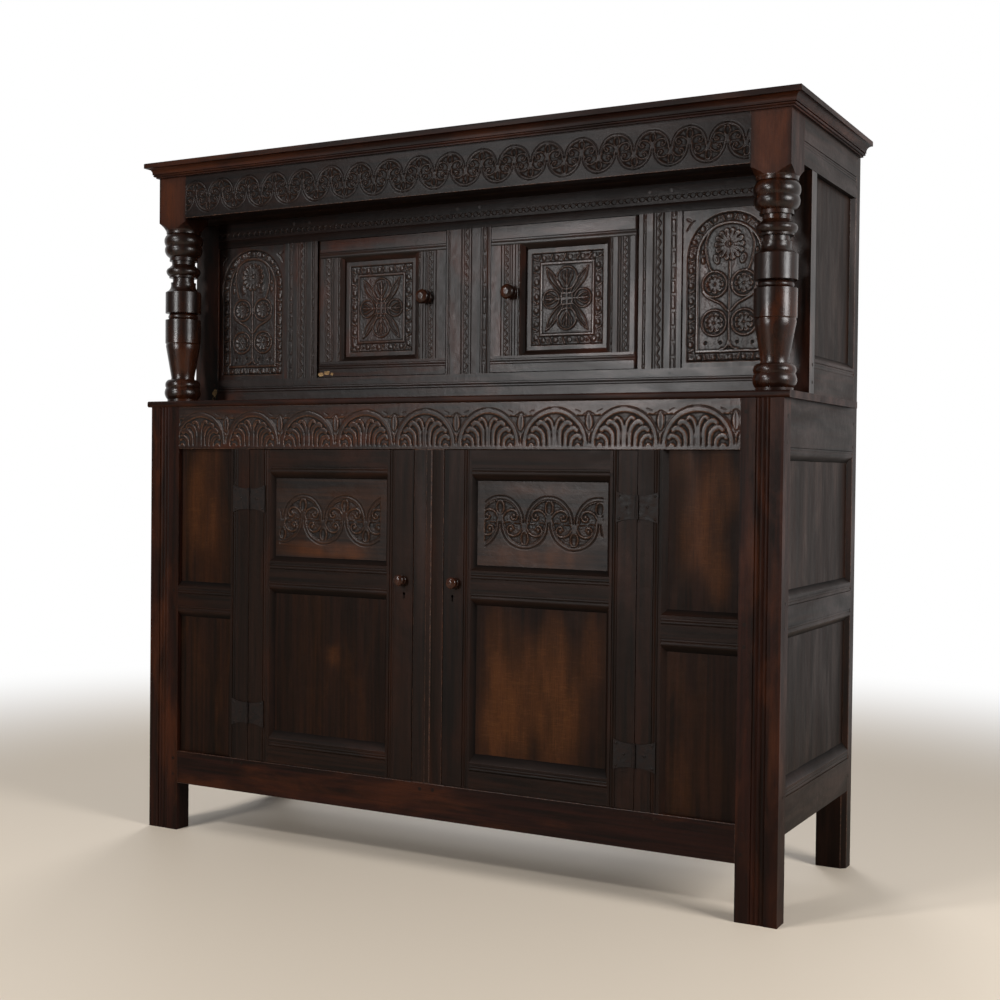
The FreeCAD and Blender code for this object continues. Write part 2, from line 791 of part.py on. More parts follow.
def boards(name, count, x, y, z, dx, dy, dz, along="x"):
    """A row of equal boards laid edge to edge along one axis."""
    pieces = []
    for index in range(count):
        width = (dx if along == "x" else dy) / count
        shift = width * index
        if along == "x":
            pieces.append(box(f"{name}_{index + 1}", x + shift, y, z, width, dy, dz))
        else:
            pieces.append(box(f"{name}_{index + 1}", x, y + shift, z, dx, width, dz))
    return pieces


keep("back_boards", group("back_boards_set", *boards(
    "back_board", BACK_BOARD_COUNT, -rear_stile_inner, back_board_front, dims.side_low_rail_low,
    rear_stile_inner * 2, dims.back_board_thick, frame_top - dims.side_low_rail_low)))


# Floor of the lower case, laid in the rebates of the front and back rails
def floor_boards():
    front = dims.rail_thick - dims.floor_rebate
    back = back_rail_front + dims.floor_rebate
    pieces = boards("floor_board", FLOOR_BOARD_COUNT, -stile_inner, front, floor_low,
                    stile_inner * 2, back - front, dims.board_thick)
    edge = box("floor_edge_board", stile_inner, dims.stile_depth, floor_low,
               side_rail_inner - stile_inner, rear_stile_front - dims.stile_depth, dims.board_thick)
    clearance = box("floor_corner", rear_stile_inner, rear_stile_front, floor_low - dims.overrun,
                    dims.rear_stile_width, dims.rear_stile_depth,
                    dims.board_thick + dims.overrun * 2)
    pieces[-1] = cut("floor_board_end", pieces[-1], clearance)
    pieces[0] = cut("floor_board_start", pieces[0], mirror("floor_corner_left", clearance))
    return group("floor_boards_set", *pieces, edge, mirror("floor_edge_board_left", edge))


keep("floor_boards", floor_boards())


# Shelf between the stages, with a rounded front edge and notches for the rear stiles
def mid_shelf():
    width = half_width + dims.shelf_side_lap
    depth = rear_stile_front + dims.shelf_front_lap
    nose = dims.shelf_nosing
    thick = dims.shelf_thick
    outline = [(0, nose), (nose, 0, 0.2), (depth, 0), (depth, thick), (nose, thick), (0, thick - nose, 0.2)]
    run = place(extrude("mid_shelf_run", "YZ_Plane", outline, width * 2),
                -width, -dims.shelf_front_lap, dims.case_height)
    tail = box("mid_shelf_tail", -rear_stile_inner, rear_stile_front, dims.case_height,
               rear_stile_inner * 2, back_board_front - rear_stile_front, thick)
    whole = fuse("mid_shelf_blank", run, tail)
    hole = rod("post_hole", half_width - dims.block_width / 2,
               dims.upper_setback + dims.block_depth / 2, dims.case_height - dims.overrun,
               dims.post_tenon_radius, thick + dims.overrun * 2)
    return cut("mid_shelf_piece", whole, hole, mirror("post_hole_left", hole))


keep("mid_shelf", mid_shelf())


# Upper stage: turned posts with square blocks, the shoulders turned where block meets post
def post():
    x = half_width - dims.block_width / 2
    y = dims.upper_setback + dims.block_depth / 2
    turned = block_shoulder_low - shelf_top
    outline = [(0, -dims.shelf_thick), (dims.post_tenon_radius, -dims.shelf_thick),
               (dims.post_tenon_radius, 0)]
    outline += [(dims.post_radius * radius, turned * height if height else 0, bend)
                for height, radius, bend in POST_SHARES]
    neck = POST_SHARES[-1][1]
    outline += [(dims.post_radius * neck, turned), (0, turned)]
    turning = place(revolve("post_turning", outline), x, y, shelf_top)
    block = box("post_block_square", block_inner, dims.upper_setback, block_shoulder_low,
                dims.block_width, dims.block_depth, dims.block_height)
    height = dims.block_height
    inner = dims.post_radius * neck
    outer = dims.block_width
    shoulder = place(revolve("post_shoulder", [
        (0, 0), (inner, 0), (dims.block_width * 0.72, dims.block_shoulder_rise, -0.1),
        (outer, dims.block_shoulder_rise), (outer, height), (0, height)]),
        x, y, block_shoulder_low)
    square = common("post_block", block, shoulder)
    mortise = tenon("post_mortise", block_inner, dims.upper_setback, frieze_low,
                    dims.frieze_rail_height)
    side_mortise = side_tenon("post_side_mortise", block_back - dims.tenon_length,
                              side_frieze_low, dims.side_frieze_height)
    return cut("post", fuse("post_whole", turning, square), mortise, side_mortise)


keep_pair("post", post())


# Frieze under the cornice, with a sunk ground for its carving and a groove for the soffit
def frieze_rail():
    height = dims.frieze_rail_height
    visible = cornice_low - frieze_low
    margin = dims.lunette_margin
    depth = dims.carving_depth
    thick = dims.rail_thick
    groove_low = side_frieze_low - frieze_low
    groove_high = groove_low + dims.soffit_thick
    outline = [(0, 0), (thick, 0), (thick, groove_low), (thick - dims.groove_depth, groove_low),
               (thick - dims.groove_depth, groove_high), (thick, groove_high), (thick, height),
               (0, height), (0, visible - margin), (depth, visible - margin), (depth, margin),
               (0, margin)]
    rail = place(extrude("frieze_rail_run", "YZ_Plane", outline, block_inner * 2),
                 -block_inner, dims.upper_setback, frieze_low)
    right = tenon("frieze_tenon_right", block_inner, dims.upper_setback, frieze_low, height)
    return fuse("frieze_rail_piece", rail, right, mirror("frieze_tenon_left", right))


keep("frieze_rail", frieze_rail())


# Recessed front of the upper cupboard
def end_stile():
    height = side_frieze_low - shelf_top
    blank = box("end_stile_blank", end_stile_inner, dims.recess_setback, shelf_top,
                dims.end_stile_width, dims.end_stile_depth, height)
    x = end_stile_inner
    face = dims.recess_setback
    cuts = [
        tenon("end_mortise_base", x, face, shelf_top, dims.recess_base_rail_height),
        tenon("end_mortise_top", x, face, recess_top_rail_low,
              dims.recess_top_rail_height),
        box("end_groove", x, face + dims.panel_setback, recess_base_top - dims.groove_depth,
            dims.groove_depth, dims.panel_thick,
            recess_top_rail_low - recess_base_top + dims.groove_depth * 2),
        side_tenon("end_side_mortise", end_stile_back - dims.tenon_length, shelf_top,
                   dims.upper_side_rail_height),
        box("end_side_groove", half_width - panel_back, end_stile_back - dims.groove_depth,
            shelf_top + dims.upper_side_rail_height - dims.groove_depth, dims.panel_thick,
            dims.groove_depth,
            side_frieze_low - shelf_top - dims.upper_side_rail_height + dims.groove_depth * 2),
    ]
    return cut("end_stile", blank, *cuts)


keep_pair("end_stile", end_stile())


def recess_rail(name, low, height, marks):
    """Rail of the recessed front with marks cut down its face, above the outline's first point."""
    outline = rail_outline(height, dims.rail_thick) + marks
    rail = place(extrude(name + "_run", "YZ_Plane", outline, end_stile_inner * 2),
                 -end_stile_inner, dims.recess_setback, low)
    right = tenon(name + "_tenon_right", end_stile_inner, dims.recess_setback, low, height)
    return fuse(name + "_piece", rail, right, mirror(name + "_tenon_left", right))


def recess_centre():
    edge = recess_centre_edge
    bead = dims.bead_width
    depth = dims.centre_strip_depth
    strip = dims.centre_strip_width
    outline = [(-edge, 0), (-edge + bead, 0), (-edge + bead, depth), (-edge + bead * 2, 0),
               (-strip, 0), (-strip + bead, depth), (strip - bead, depth), (strip, 0),
               (edge - bead * 2, 0), (edge - bead, depth), (edge - bead, 0), (edge, 0),
               (edge, dims.rail_thick), (-edge, dims.rail_thick)]
    height = recess_top_rail_low - recess_base_top
    run = place(extrude("recess_centre_run", "XY_Plane", outline, height),
                0, dims.recess_setback, recess_base_top)
    tips = muntin_tenons("recess_centre_tenon", -edge, edge * 2, dims.recess_setback,
                         recess_base_top, recess_top_rail_low)
    return tips, fuse("recess_centre_piece", run, *tips)


def recess_muntin():
    width = dims.recess_muntin_width
    bead = dims.bead_width
    depth = dims.centre_strip_depth
    outline = [(0, 0), (bead, 0), (bead, depth), (bead * 2, 0), (width / 2 - bead, 0),
               (width / 2, depth), (width / 2 + bead, 0), (width - bead * 2, 0),
               (width - bead, depth), (width - bead, 0), (width, 0),
               (width, dims.rail_thick), (0, dims.rail_thick)]
    height = recess_top_rail_low - recess_base_top
    run = place(extrude("recess_muntin_run", "XY_Plane", outline, height),
                upper_hinge_edge, dims.recess_setback, recess_base_top)
    groove = box("recess_muntin_groove", arcade_edge - dims.groove_depth,
                 dims.recess_setback + dims.panel_setback, recess_base_top,
                 dims.groove_depth, dims.panel_thick, height)
    tips = muntin_tenons("recess_muntin_tenon", upper_hinge_edge, width, dims.recess_setback,
                         recess_base_top, recess_top_rail_low)
    return tips, fuse("recess_muntin", cut("recess_muntin_cut", run, groove), *tips)


recess_centre_tips, recess_centre_piece = recess_centre()
keep("recess_centre_muntin", recess_centre_piece)
recess_tips, recess_muntin_piece = recess_muntin()
keep_pair("arcade_muntin", recess_muntin_piece)

# Iron pins that carry the upper doors stand in the rails above and below them
upper_door_low = recess_base_top + dims.door_gap
upper_door_high = recess_top_rail_low - dims.door_gap
pivot_x = upper_hinge_edge - dims.door_gap - dims.pivot_inset
pivot_y = dims.recess_setback + dims.pivot_inset
pivot_span = dims.pivot_length + dims.door_gap + dims.pivot_length
low_pivot = rod("pivot_low", pivot_x, pivot_y, recess_base_top - dims.pivot_length,
                dims.pivot_radius, pivot_span)
top_pivot = rod("pivot_top", pivot_x, pivot_y, upper_door_high - dims.pivot_length,
                dims.pivot_radius, pivot_span)
keep("pivot_pins", group("pivot_pin_set", low_pivot, top_pivot,
                         mirror("pivot_low_left", low_pivot), mirror("pivot_top_left", top_pivot)))


def rail_tools(tips, pivot, level, tag):
    """What the muntins, panels and pins take out of a recess rail."""
    groove = box(f"arcade_{tag}_groove", arcade_edge - dims.groove_depth,
                 dims.recess_setback + dims.panel_setback, level,
                 end_stile_inner - arcade_edge + dims.groove_depth, dims.panel_thick, dims.groove_depth)
    right = [tips, pivot, groove]
    return right + [mirror(f"{item.Name}_{tag}_left_tool", item) for item in right]


def chain_strip():
    """Sunk strip for the chain carving and one bead below it, going down the face."""
    low = dims.chain_strip_low
    high = low + dims.chain_strip_height
    sink = dims.centre_strip_depth
    line = dims.recess_top_line
    return [(0, high), (sink, high), (sink, low), (0, low), (0, line), (sink, line),
            (0, line - dims.bead_width)]


base_rail = recess_rail("recess_base_rail", shelf_top, dims.recess_base_rail_height,
                        front_beads(dims.recess_base_rail_height - dims.recess_base_line))
top_rail = recess_rail("recess_top_rail", recess_top_rail_low,
                       dims.recess_top_rail_height, chain_strip())
keep("recess_base_rail", cut("recess_base_rail_cut", base_rail, recess_centre_tips[0],
                             *rail_tools(recess_tips[0], low_pivot,
                                         recess_base_top - dims.groove_depth, LOW_ENDED)))
keep("recess_top_rail", cut("recess_top_rail_cut", top_rail, recess_centre_tips[1],
                            *rail_tools(recess_tips[1], top_pivot,
                                        recess_top_rail_low, TOP_ENDED)))


# Arcaded end panels: a round arch sunk in a raised face, with a tongue in the frame's groove
def arcade_panel():
    low = recess_base_top
    high = recess_top_rail_low
    width = end_stile_inner - arcade_edge
    tongue = box("arcade_tongue", arcade_edge - panel_bite, dims.recess_setback + dims.panel_setback,
                 low - panel_bite, width + panel_bite * 2, dims.panel_thick,
                 high - low + panel_bite * 2)
    face = box("arcade_face", arcade_edge, dims.recess_setback + dims.arcade_setback, low,
               width, dims.panel_setback - dims.arcade_setback, high - low)
    radius = width / 2 - dims.arcade_side_margin
    foot = dims.arcade_margin
    spring = high - low - dims.arcade_margin - radius
    outline = [(-radius, foot), (radius, foot), (radius, spring), (0, spring + radius, QUARTER),
               (-radius, spring, QUARTER)]
    arch = place(extrude("arcade_arch", "XY_Plane", outline, dims.arcade_sinking + dims.overrun),
                 arcade_edge + width / 2,
                 dims.recess_setback + dims.arcade_setback + dims.arcade_sinking, low, FRONT_TURN)
    return cut("arcade_panel", fuse("arcade_plate", tongue, face), arch)


keep_pair("arcade_panel", arcade_panel())


# Upper sides
def upper_side_rails():
    frieze_height = dims.side_frieze_height
    groove = dims.groove_depth
    frieze_outline = rail_outline(frieze_height, dims.rail_thick)
    joint_level = cornice_low - side_frieze_low - dims.edge_chamfer * 5
    frieze_outline += front_beads(joint_level)
    frieze = place(extrude("side_frieze_run", "YZ_Plane", frieze_outline,
                           rear_stile_front - block_back + dims.edge_chamfer),
                   half_width, block_back, side_frieze_low, SIDE_TURN)
    slot = box("side_frieze_groove", half_width - panel_back, end_stile_back - groove,
               side_frieze_low, dims.panel_thick, rear_stile_front - end_stile_back + groove,
               groove)
    frieze_cut = cut("side_frieze_cut", frieze, slot, rear_blank)
    frieze_front = side_tenon("side_frieze_tenon_front", block_back - dims.tenon_length,
                              side_frieze_low, frieze_height)
    frieze_rear = side_tenon("side_frieze_tenon_rear", rear_stile_front, side_frieze_low,
                             frieze_height)
    base_outline = rail_outline(dims.upper_side_rail_height, dims.rail_thick, sill=dims.sill_rise,
                                top_beads=True, top_groove=True)
    base = place(extrude("upper_side_base_run", "YZ_Plane", base_outline,
                         rear_stile_front - end_stile_back + dims.edge_chamfer),
                 half_width, end_stile_back, shelf_top, SIDE_TURN)
    base_cut = cut("upper_side_base_scribed", base, rear_blank)
    base_front = side_tenon("upper_side_tenon_front", end_stile_back - dims.tenon_length,
                            shelf_top, dims.upper_side_rail_height)
    base_rear = side_tenon("upper_side_tenon_rear", rear_stile_front, shelf_top,
                           dims.upper_side_rail_height)
    return group("upper_side_rails", fuse("side_frieze_rail", frieze_cut, frieze_front, frieze_rear),
                 fuse("upper_side_base_rail", base_cut, base_front, base_rear))


keep_pair("upper_side_rails", upper_side_rails())
upper_side_low = shelf_top + dims.upper_side_rail_height
keep_pair("upper_side_panel", box(
    "upper_side_panel", half_width - panel_back, end_stile_back - panel_bite,
    upper_side_low - panel_bite, dims.panel_thick,
    rear_stile_front - end_stile_back + panel_bite * 2,
    side_frieze_low - upper_side_low + panel_bite * 2))


# Soffit of the canopy and the top boards
def soffit_boards():
    front = dims.upper_setback + dims.rail_thick - dims.groove_depth
    back = end_stile_back
    shoulder = block_back
    inner = box("soffit_front_board", -block_inner, front, side_frieze_low,
                block_inner * 2, shoulder - front, dims.soffit_thick)
    outer = box("soffit_back_board", -side_rail_inner, shoulder, side_frieze_low,
                side_rail_inner * 2, back - shoulder, dims.soffit_thick)
    return group("soffit_board_set", inner, outer)


keep("soffit_boards", soffit_boards())
keep("top_boards", group("top_board_set", *boards(
    "top_board", TOP_BOARD_COUNT, -half_width, dims.upper_setback, frame_top,
    dims.case_width, dims.case_depth - dims.upper_setback, dims.board_thick, along="y")))


# Cornice in three mitred lengths
def cornice():
    reach = dims.cornice_reach
    tall = dims.cornice_height
    front_y = dims.upper_setback
    back = dims.case_depth
    outer = half_width + reach

    def section(wall):
        steps = [(reach * (1 - out) if out < 1 else 0, tall * up if up else 0, bend)
                 for out, up, bend in CORNICE_SHARES]
        return [(wall, 0)] + steps + [(wall, tall)]

    front = place(extrude("cornice_front_run", "YZ_Plane", section(reach), outer * 2),
                  -outer, front_y - reach, cornice_low)
    plan = [(-outer, front_y - reach), (outer, front_y - reach), (half_width, front_y),
            (-half_width, front_y)]
    front_plan = place(extrude("cornice_front_plan", "XY_Plane", plan, tall), 0, 0, cornice_low)
    side = place(extrude("cornice_side_run", "YZ_Plane", section(reach), back - front_y + reach),
                 outer, front_y - reach, cornice_low, SIDE_TURN)
    side_plan_outline = [(half_width, front_y), (outer, front_y - reach), (outer, back),
                         (half_width, back)]
    side_plan = place(extrude("cornice_side_plan", "XY_Plane", side_plan_outline, tall),
                      0, 0, cornice_low)
    side_piece = common("cornice_right", side, side_plan)
    return group("cornice_set", common("cornice_front", front, front_plan), side_piece,
                 mirror("cornice_left", side_piece))


keep("cornice", cornice())


# Doors: stiles and rails framed round panels, the rails scribed over the stiles' chamfers
def door_stile_outline(width, thick, inner_first, round_radius=None):
    """Section of a door stile; the moulded inner edge is at the low or the high end of X."""
    floor = dims.bead_quirk
    chamfer = dims.edge_chamfer
    start = chamfer + dims.bead_lip
    outline = [(0, thick), (0, panel_back), (dims.groove_depth, panel_back),
               (dims.groove_depth, dims.panel_setback), (0, dims.panel_setback), (chamfer, 0),
               (start, 0), (start, floor), (start + dims.bead_width, floor, 0.17),
               (start + bead_band, floor, 0.17), (start + bead_band, 0)]
    if round_radius:
        outline += [(width - round_radius, 0), (width, round_radius, QUARTER)]
    else:
        outline.append((width, 0))
    outline.append((width, thick))
    if inner_first:
        return outline
    flipped = []
    bends = [item[2] if len(item) > 2 else 0 for item in outline]
    for index, item in enumerate(outline):
        arriving = bends[(index + 1) % len(outline)]
        flipped.append((width - item[0], item[1], arriving))
    return flipped[::-1]


def door_frame(name, left, right, low, high, face_y, stile_widths, rails):
    """Right-hand door frame. Returns the blanks of its stiles, their mortises and its rails."""
    inner_width, outer_width = stile_widths
    height = high - low
    lock_edge = left + inner_width
    hinge_side = right - outer_width
    lock_blank = place(extrude(name + "_lock_blank", "XY_Plane", door_stile_outline(
        inner_width, dims.door_thick, False), height), left, face_y, low)
    hinge_blank = place(extrude(name + "_hinge_blank", "XY_Plane", door_stile_outline(
        outer_width, dims.door_thick, True), height), hinge_side, face_y, low)
    run_start = lock_edge - dims.edge_chamfer
    run = hinge_side + dims.edge_chamfer - run_start
    rail_pieces = []
    lock_cuts = []
    hinge_cuts = []
    for tag, rail_low, rail_height, looks in rails:
        outline = rail_outline(rail_height, dims.door_thick, **looks)
        rail = place(extrude(f"{name}_{tag}_run", "YZ_Plane", outline, run),
                     run_start, face_y, rail_low)
        scribed = cut(f"{name}_{tag}_scribed", rail, lock_blank, hinge_blank)
        length = dims.door_tenon_length
        lock_tenon = tenon(f"{name}_{tag}_lock_tenon", lock_edge - length, face_y, rail_low,
                           rail_height, length)
        hinge_tenon = tenon(f"{name}_{tag}_hinge_tenon", hinge_side, face_y, rail_low,
                            rail_height, length)
        lock_cuts.append(lock_tenon)
        hinge_cuts.append(hinge_tenon)
        rail_pieces.append(fuse(f"{name}_{tag}_rail", scribed, lock_tenon, hinge_tenon))
    return lock_blank, hinge_blank, lock_cuts, hinge_cuts, rail_pieces


def knob(name, x, face_y, level, radius, reach):
    """Turned knob whose axis runs along -Y, with a spigot in the stile."""
    outline = [(0, -dims.knob_spigot_length), (dims.knob_spigot_radius, -dims.knob_spigot_length),
               (dims.knob_spigot_radius, 0)]
    outline += [(radius * wide, reach * out if out else 0, bend) for out, wide, bend in KNOB_SHARES]
    outline.append((0, reach))
    return place(revolve(name, outline), x, face_y, level, FRONT_TURN)


def knob_hole(name, x, face_y, level):
    piece = rod(name, x, face_y + dims.knob_spigot_length, level,
                dims.knob_spigot_radius + dims.pin_clearance, dims.knob_spigot_length + dims.overrun)
    return place(piece, x, face_y + dims.knob_spigot_length, level, FRONT_TURN)


def keyhole(name):
    """Round-topped keyhole through the lock stile and the lock's plate."""
    depth = dims.door_thick + dims.lock_plate_thick + dims.overrun
    eye = rod(name + "_eye", keyhole_x, depth, dims.keyhole_level, dims.keyhole_radius,
              depth + dims.overrun)
    place(eye, keyhole_x, depth, dims.keyhole_level, FRONT_TURN)
    slot = box(name + "_slot", keyhole_x - dims.keyhole_slot / 2, -dims.overrun,
               dims.keyhole_level - dims.keyhole_drop, dims.keyhole_slot,
               depth + dims.overrun, dims.keyhole_drop)
    return fuse(name, eye, slot)


# Lower doors
door_left = centre_edge + dims.door_gap
keyhole_x = door_left + dims.keyhole_inset
door_right = hinge_edge - dims.door_gap
door_low = front_rail_top + dims.door_gap
door_high = frieze_rail_low - dims.door_gap
lower_knob_x = door_left + dims.knob_inset


def lower_door():
    rails = (
        ("top", door_high - dims.door_top_rail, dims.door_top_rail,
         dict(rolled_edge=True, low_groove=True)),
        ("mid", dims.door_mid_rail_low, dims.door_mid_rail_height,
         dict(sill=dims.sill_rise, top_beads=True, rolled_edge=True, top_groove=True,
              low_groove=True)),
        ("low", door_low, dims.door_low_rail_height,
         dict(sill=dims.low_sill_rise, top_beads=True, top_groove=True)),
    )
    lock_blank, hinge_blank, lock_cuts, hinge_cuts, rail_pieces = door_frame(
        "lower_door", door_left, door_right, door_low, door_high, as_size(0),
        (dims.door_lock_stile, dims.door_hinge_stile), rails)
    lock_cuts.append(knob_hole("lower_knob_hole", lower_knob_x, as_size(0), dims.knob_level))
    lock_cuts.append(keyhole("door_keyhole"))
    lock_stile = cut("lower_door_lock_stile", lock_blank, *lock_cuts)
    hinge_stile = cut("lower_door_hinge_stile", hinge_blank, *hinge_cuts)
    frame = group("lower_door_frame", lock_stile, hinge_stile, *rail_pieces)
    keep_pair("lower_door_frame", frame)
    x = door_left + dims.door_lock_stile - panel_bite
    width = door_right - dims.door_hinge_stile - door_left - dims.door_lock_stile + panel_bite * 2
    mid_top = dims.door_mid_rail_low + dims.door_mid_rail_height
    spans = (("lower", door_low + dims.door_low_rail_height, dims.door_mid_rail_low),
             ("upper", mid_top, door_high - dims.door_top_rail))
    panels = [box("lower_door_panel_" + tag, x, dims.panel_setback, low - panel_bite,
                  width, dims.panel_thick, high - low + panel_bite * 2)
              for tag, low, high in spans]
    keep_pair("lower_door_panels", group("lower_door_panels", *panels))
    keep_pair("lower_door_knob", knob("lower_door_knob", lower_knob_x, as_size(0), dims.knob_level,
                                      dims.knob_radius, dims.knob_reach))


lower_door()


# Butterfly hinges: leaves nailed on the faces, three knuckles round a fixed pin
hinge_axis_x = hinge_edge - dims.door_gap / 2
hinge_axis_y = -dims.knuckle_radius - dims.knuckle_standoff
leaf_start = dims.knuckle_radius + dims.knuckle_side_gap
knuckle_height = dims.hinge_waist / 4


def hinge_leaf(name, level, sign):
    """Leaf on the frame (sign 1) or on the door (sign -1), with its knuckles."""
    half = dims.hinge_waist / 2
    end = dims.hinge_end_height / 2
    curve = -0.06 * sign
    outline = [(leaf_start * sign, -half), (dims.hinge_leaf_length * sign, -end, curve),
               (dims.hinge_leaf_length * sign, end), (leaf_start * sign, half, curve)]
    plate = place(extrude(name + "_plate", "XY_Plane", outline, dims.hinge_leaf_thick),
                  hinge_axis_x, 0, level, FRONT_TURN)
    if sign > 0:
        spans = ((level - half, knuckle_height), (level + half - knuckle_height, knuckle_height))
        bore = dims.hinge_pin_radius
    else:
        low = level - knuckle_height + dims.knuckle_end_gap
        spans = ((low, knuckle_height * 2 - dims.knuckle_end_gap * 2),)
        bore = dims.hinge_pin_radius + dims.pin_clearance
    pieces = [plate]
    for index, (low, height) in enumerate(spans):
        pieces.append(rod(f"{name}_knuckle_{index}", hinge_axis_x, hinge_axis_y, low,
                          dims.knuckle_radius, height))
        neck_x = hinge_axis_x if sign > 0 else hinge_axis_x - leaf_start - dims.hinge_leaf_thick
        pieces.append(box(f"{name}_neck_{index}", neck_x, -dims.hinge_leaf_thick, low,
                          leaf_start + dims.hinge_leaf_thick, dims.hinge_leaf_thick, height))
    hole = rod(name + "_bore", hinge_axis_x, hinge_axis_y, level - dims.hinge_waist, bore,
               dims.hinge_waist * 2)
    return cut(name, fuse(name + "_whole", *pieces), hole)


hinge_levels = (("upper", dims.hinge_upper_level), ("lower", dims.hinge_lower_level))
frame_leaves = [hinge_leaf(f"frame_leaf_{tag}", level, 1) for tag, level in hinge_levels]
door_leaves = [hinge_leaf(f"door_leaf_{tag}", level, -1) for tag, level in hinge_levels]


def hinge_pin(tag, level):
    half = dims.hinge_waist / 2
    shank = rod(f"hinge_pin_{tag}_shank", hinge_axis_x, hinge_axis_y, level - half,
                dims.hinge_pin_radius, dims.hinge_waist)
    head = rod(f"hinge_pin_{tag}_head", hinge_axis_x, hinge_axis_y, level + half,
               dims.hinge_pin_radius + dims.hinge_pin_head / 2, dims.hinge_pin_head)
    return fuse(f"hinge_pin_{tag}", shank, head)


hinge_pins = [hinge_pin(tag, level) for tag, level in hinge_levels]
keep("frame_hinge_leaves", group("frame_leaf_set", *frame_leaves,
                                 *[mirror(item.Name + "_left", item) for item in frame_leaves]))
keep("hinge_pins", group("hinge_pin_set", *hinge_pins,
                         *[mirror(item.Name + "_left", item) for item in hinge_pins]))
keep_pair("door_hinge_leaves", group("door_leaf_set", *door_leaves))


# Locks: an iron plate with two guides on the back of the lock stile, and a sliding bolt
def lock():
    back = dims.door_thick
    bed = back + dims.lock_plate_thick
    bolt_y = bed + dims.lock_bed_thick + dims.bolt_clearance
    plate_x = door_left + dims.bolt_withdrawn
    plate = box("lock_plate", plate_x, back, dims.lock_level - dims.lock_plate_height / 2,
                dims.lock_plate_width, dims.lock_plate_thick, dims.lock_plate_height)
    guide_height = dims.bolt_height + dims.bolt_clearance * 2 + dims.lock_guide_wall * 2
    guide_depth = dims.lock_bed_thick + dims.bolt_thick + dims.bolt_clearance * 2 \
        + dims.lock_guide_wall / 2
    guide_low = dims.lock_level - guide_height / 2
    last_guide = plate_x + dims.lock_plate_width - dims.lock_guide_width - dims.lock_guide_wall
    guides = [box(f"lock_guide_{index}", x, bed, guide_low, dims.lock_guide_width, guide_depth,
                  guide_height)
              for index, x in enumerate((plate_x + dims.lock_guide_wall, last_guide))]
    channel = box("lock_channel", plate_x - dims.overrun, bolt_y - dims.bolt_clearance,
                  dims.lock_level - dims.bolt_height / 2 - dims.bolt_clearance,
                  dims.lock_plate_width + dims.overrun * 2, dims.bolt_thick + dims.bolt_clearance * 2,
                  dims.bolt_height + dims.bolt_clearance * 2)
    keep_pair("lock_plate", cut("lock_piece", fuse("lock_whole", plate, *guides), channel,
                                keyhole("plate_keyhole")))
    bar = box("bolt_bar", plate_x, bolt_y, dims.lock_level - dims.bolt_height / 2,
              dims.bolt_length, dims.bolt_thick, dims.bolt_height)
    notch_width = dims.lock_guide_width
    notch = box("bolt_notch", keyhole_x - notch_width / 2,
                bolt_y - dims.overrun, dims.lock_level - dims.bolt_height / 2 - dims.overrun,
                notch_width, dims.bolt_thick + dims.overrun * 2,
                dims.overrun + dims.bolt_height / 3)
    keep_pair("lock_bolt", cut("bolt_piece", bar, notch))


lock()


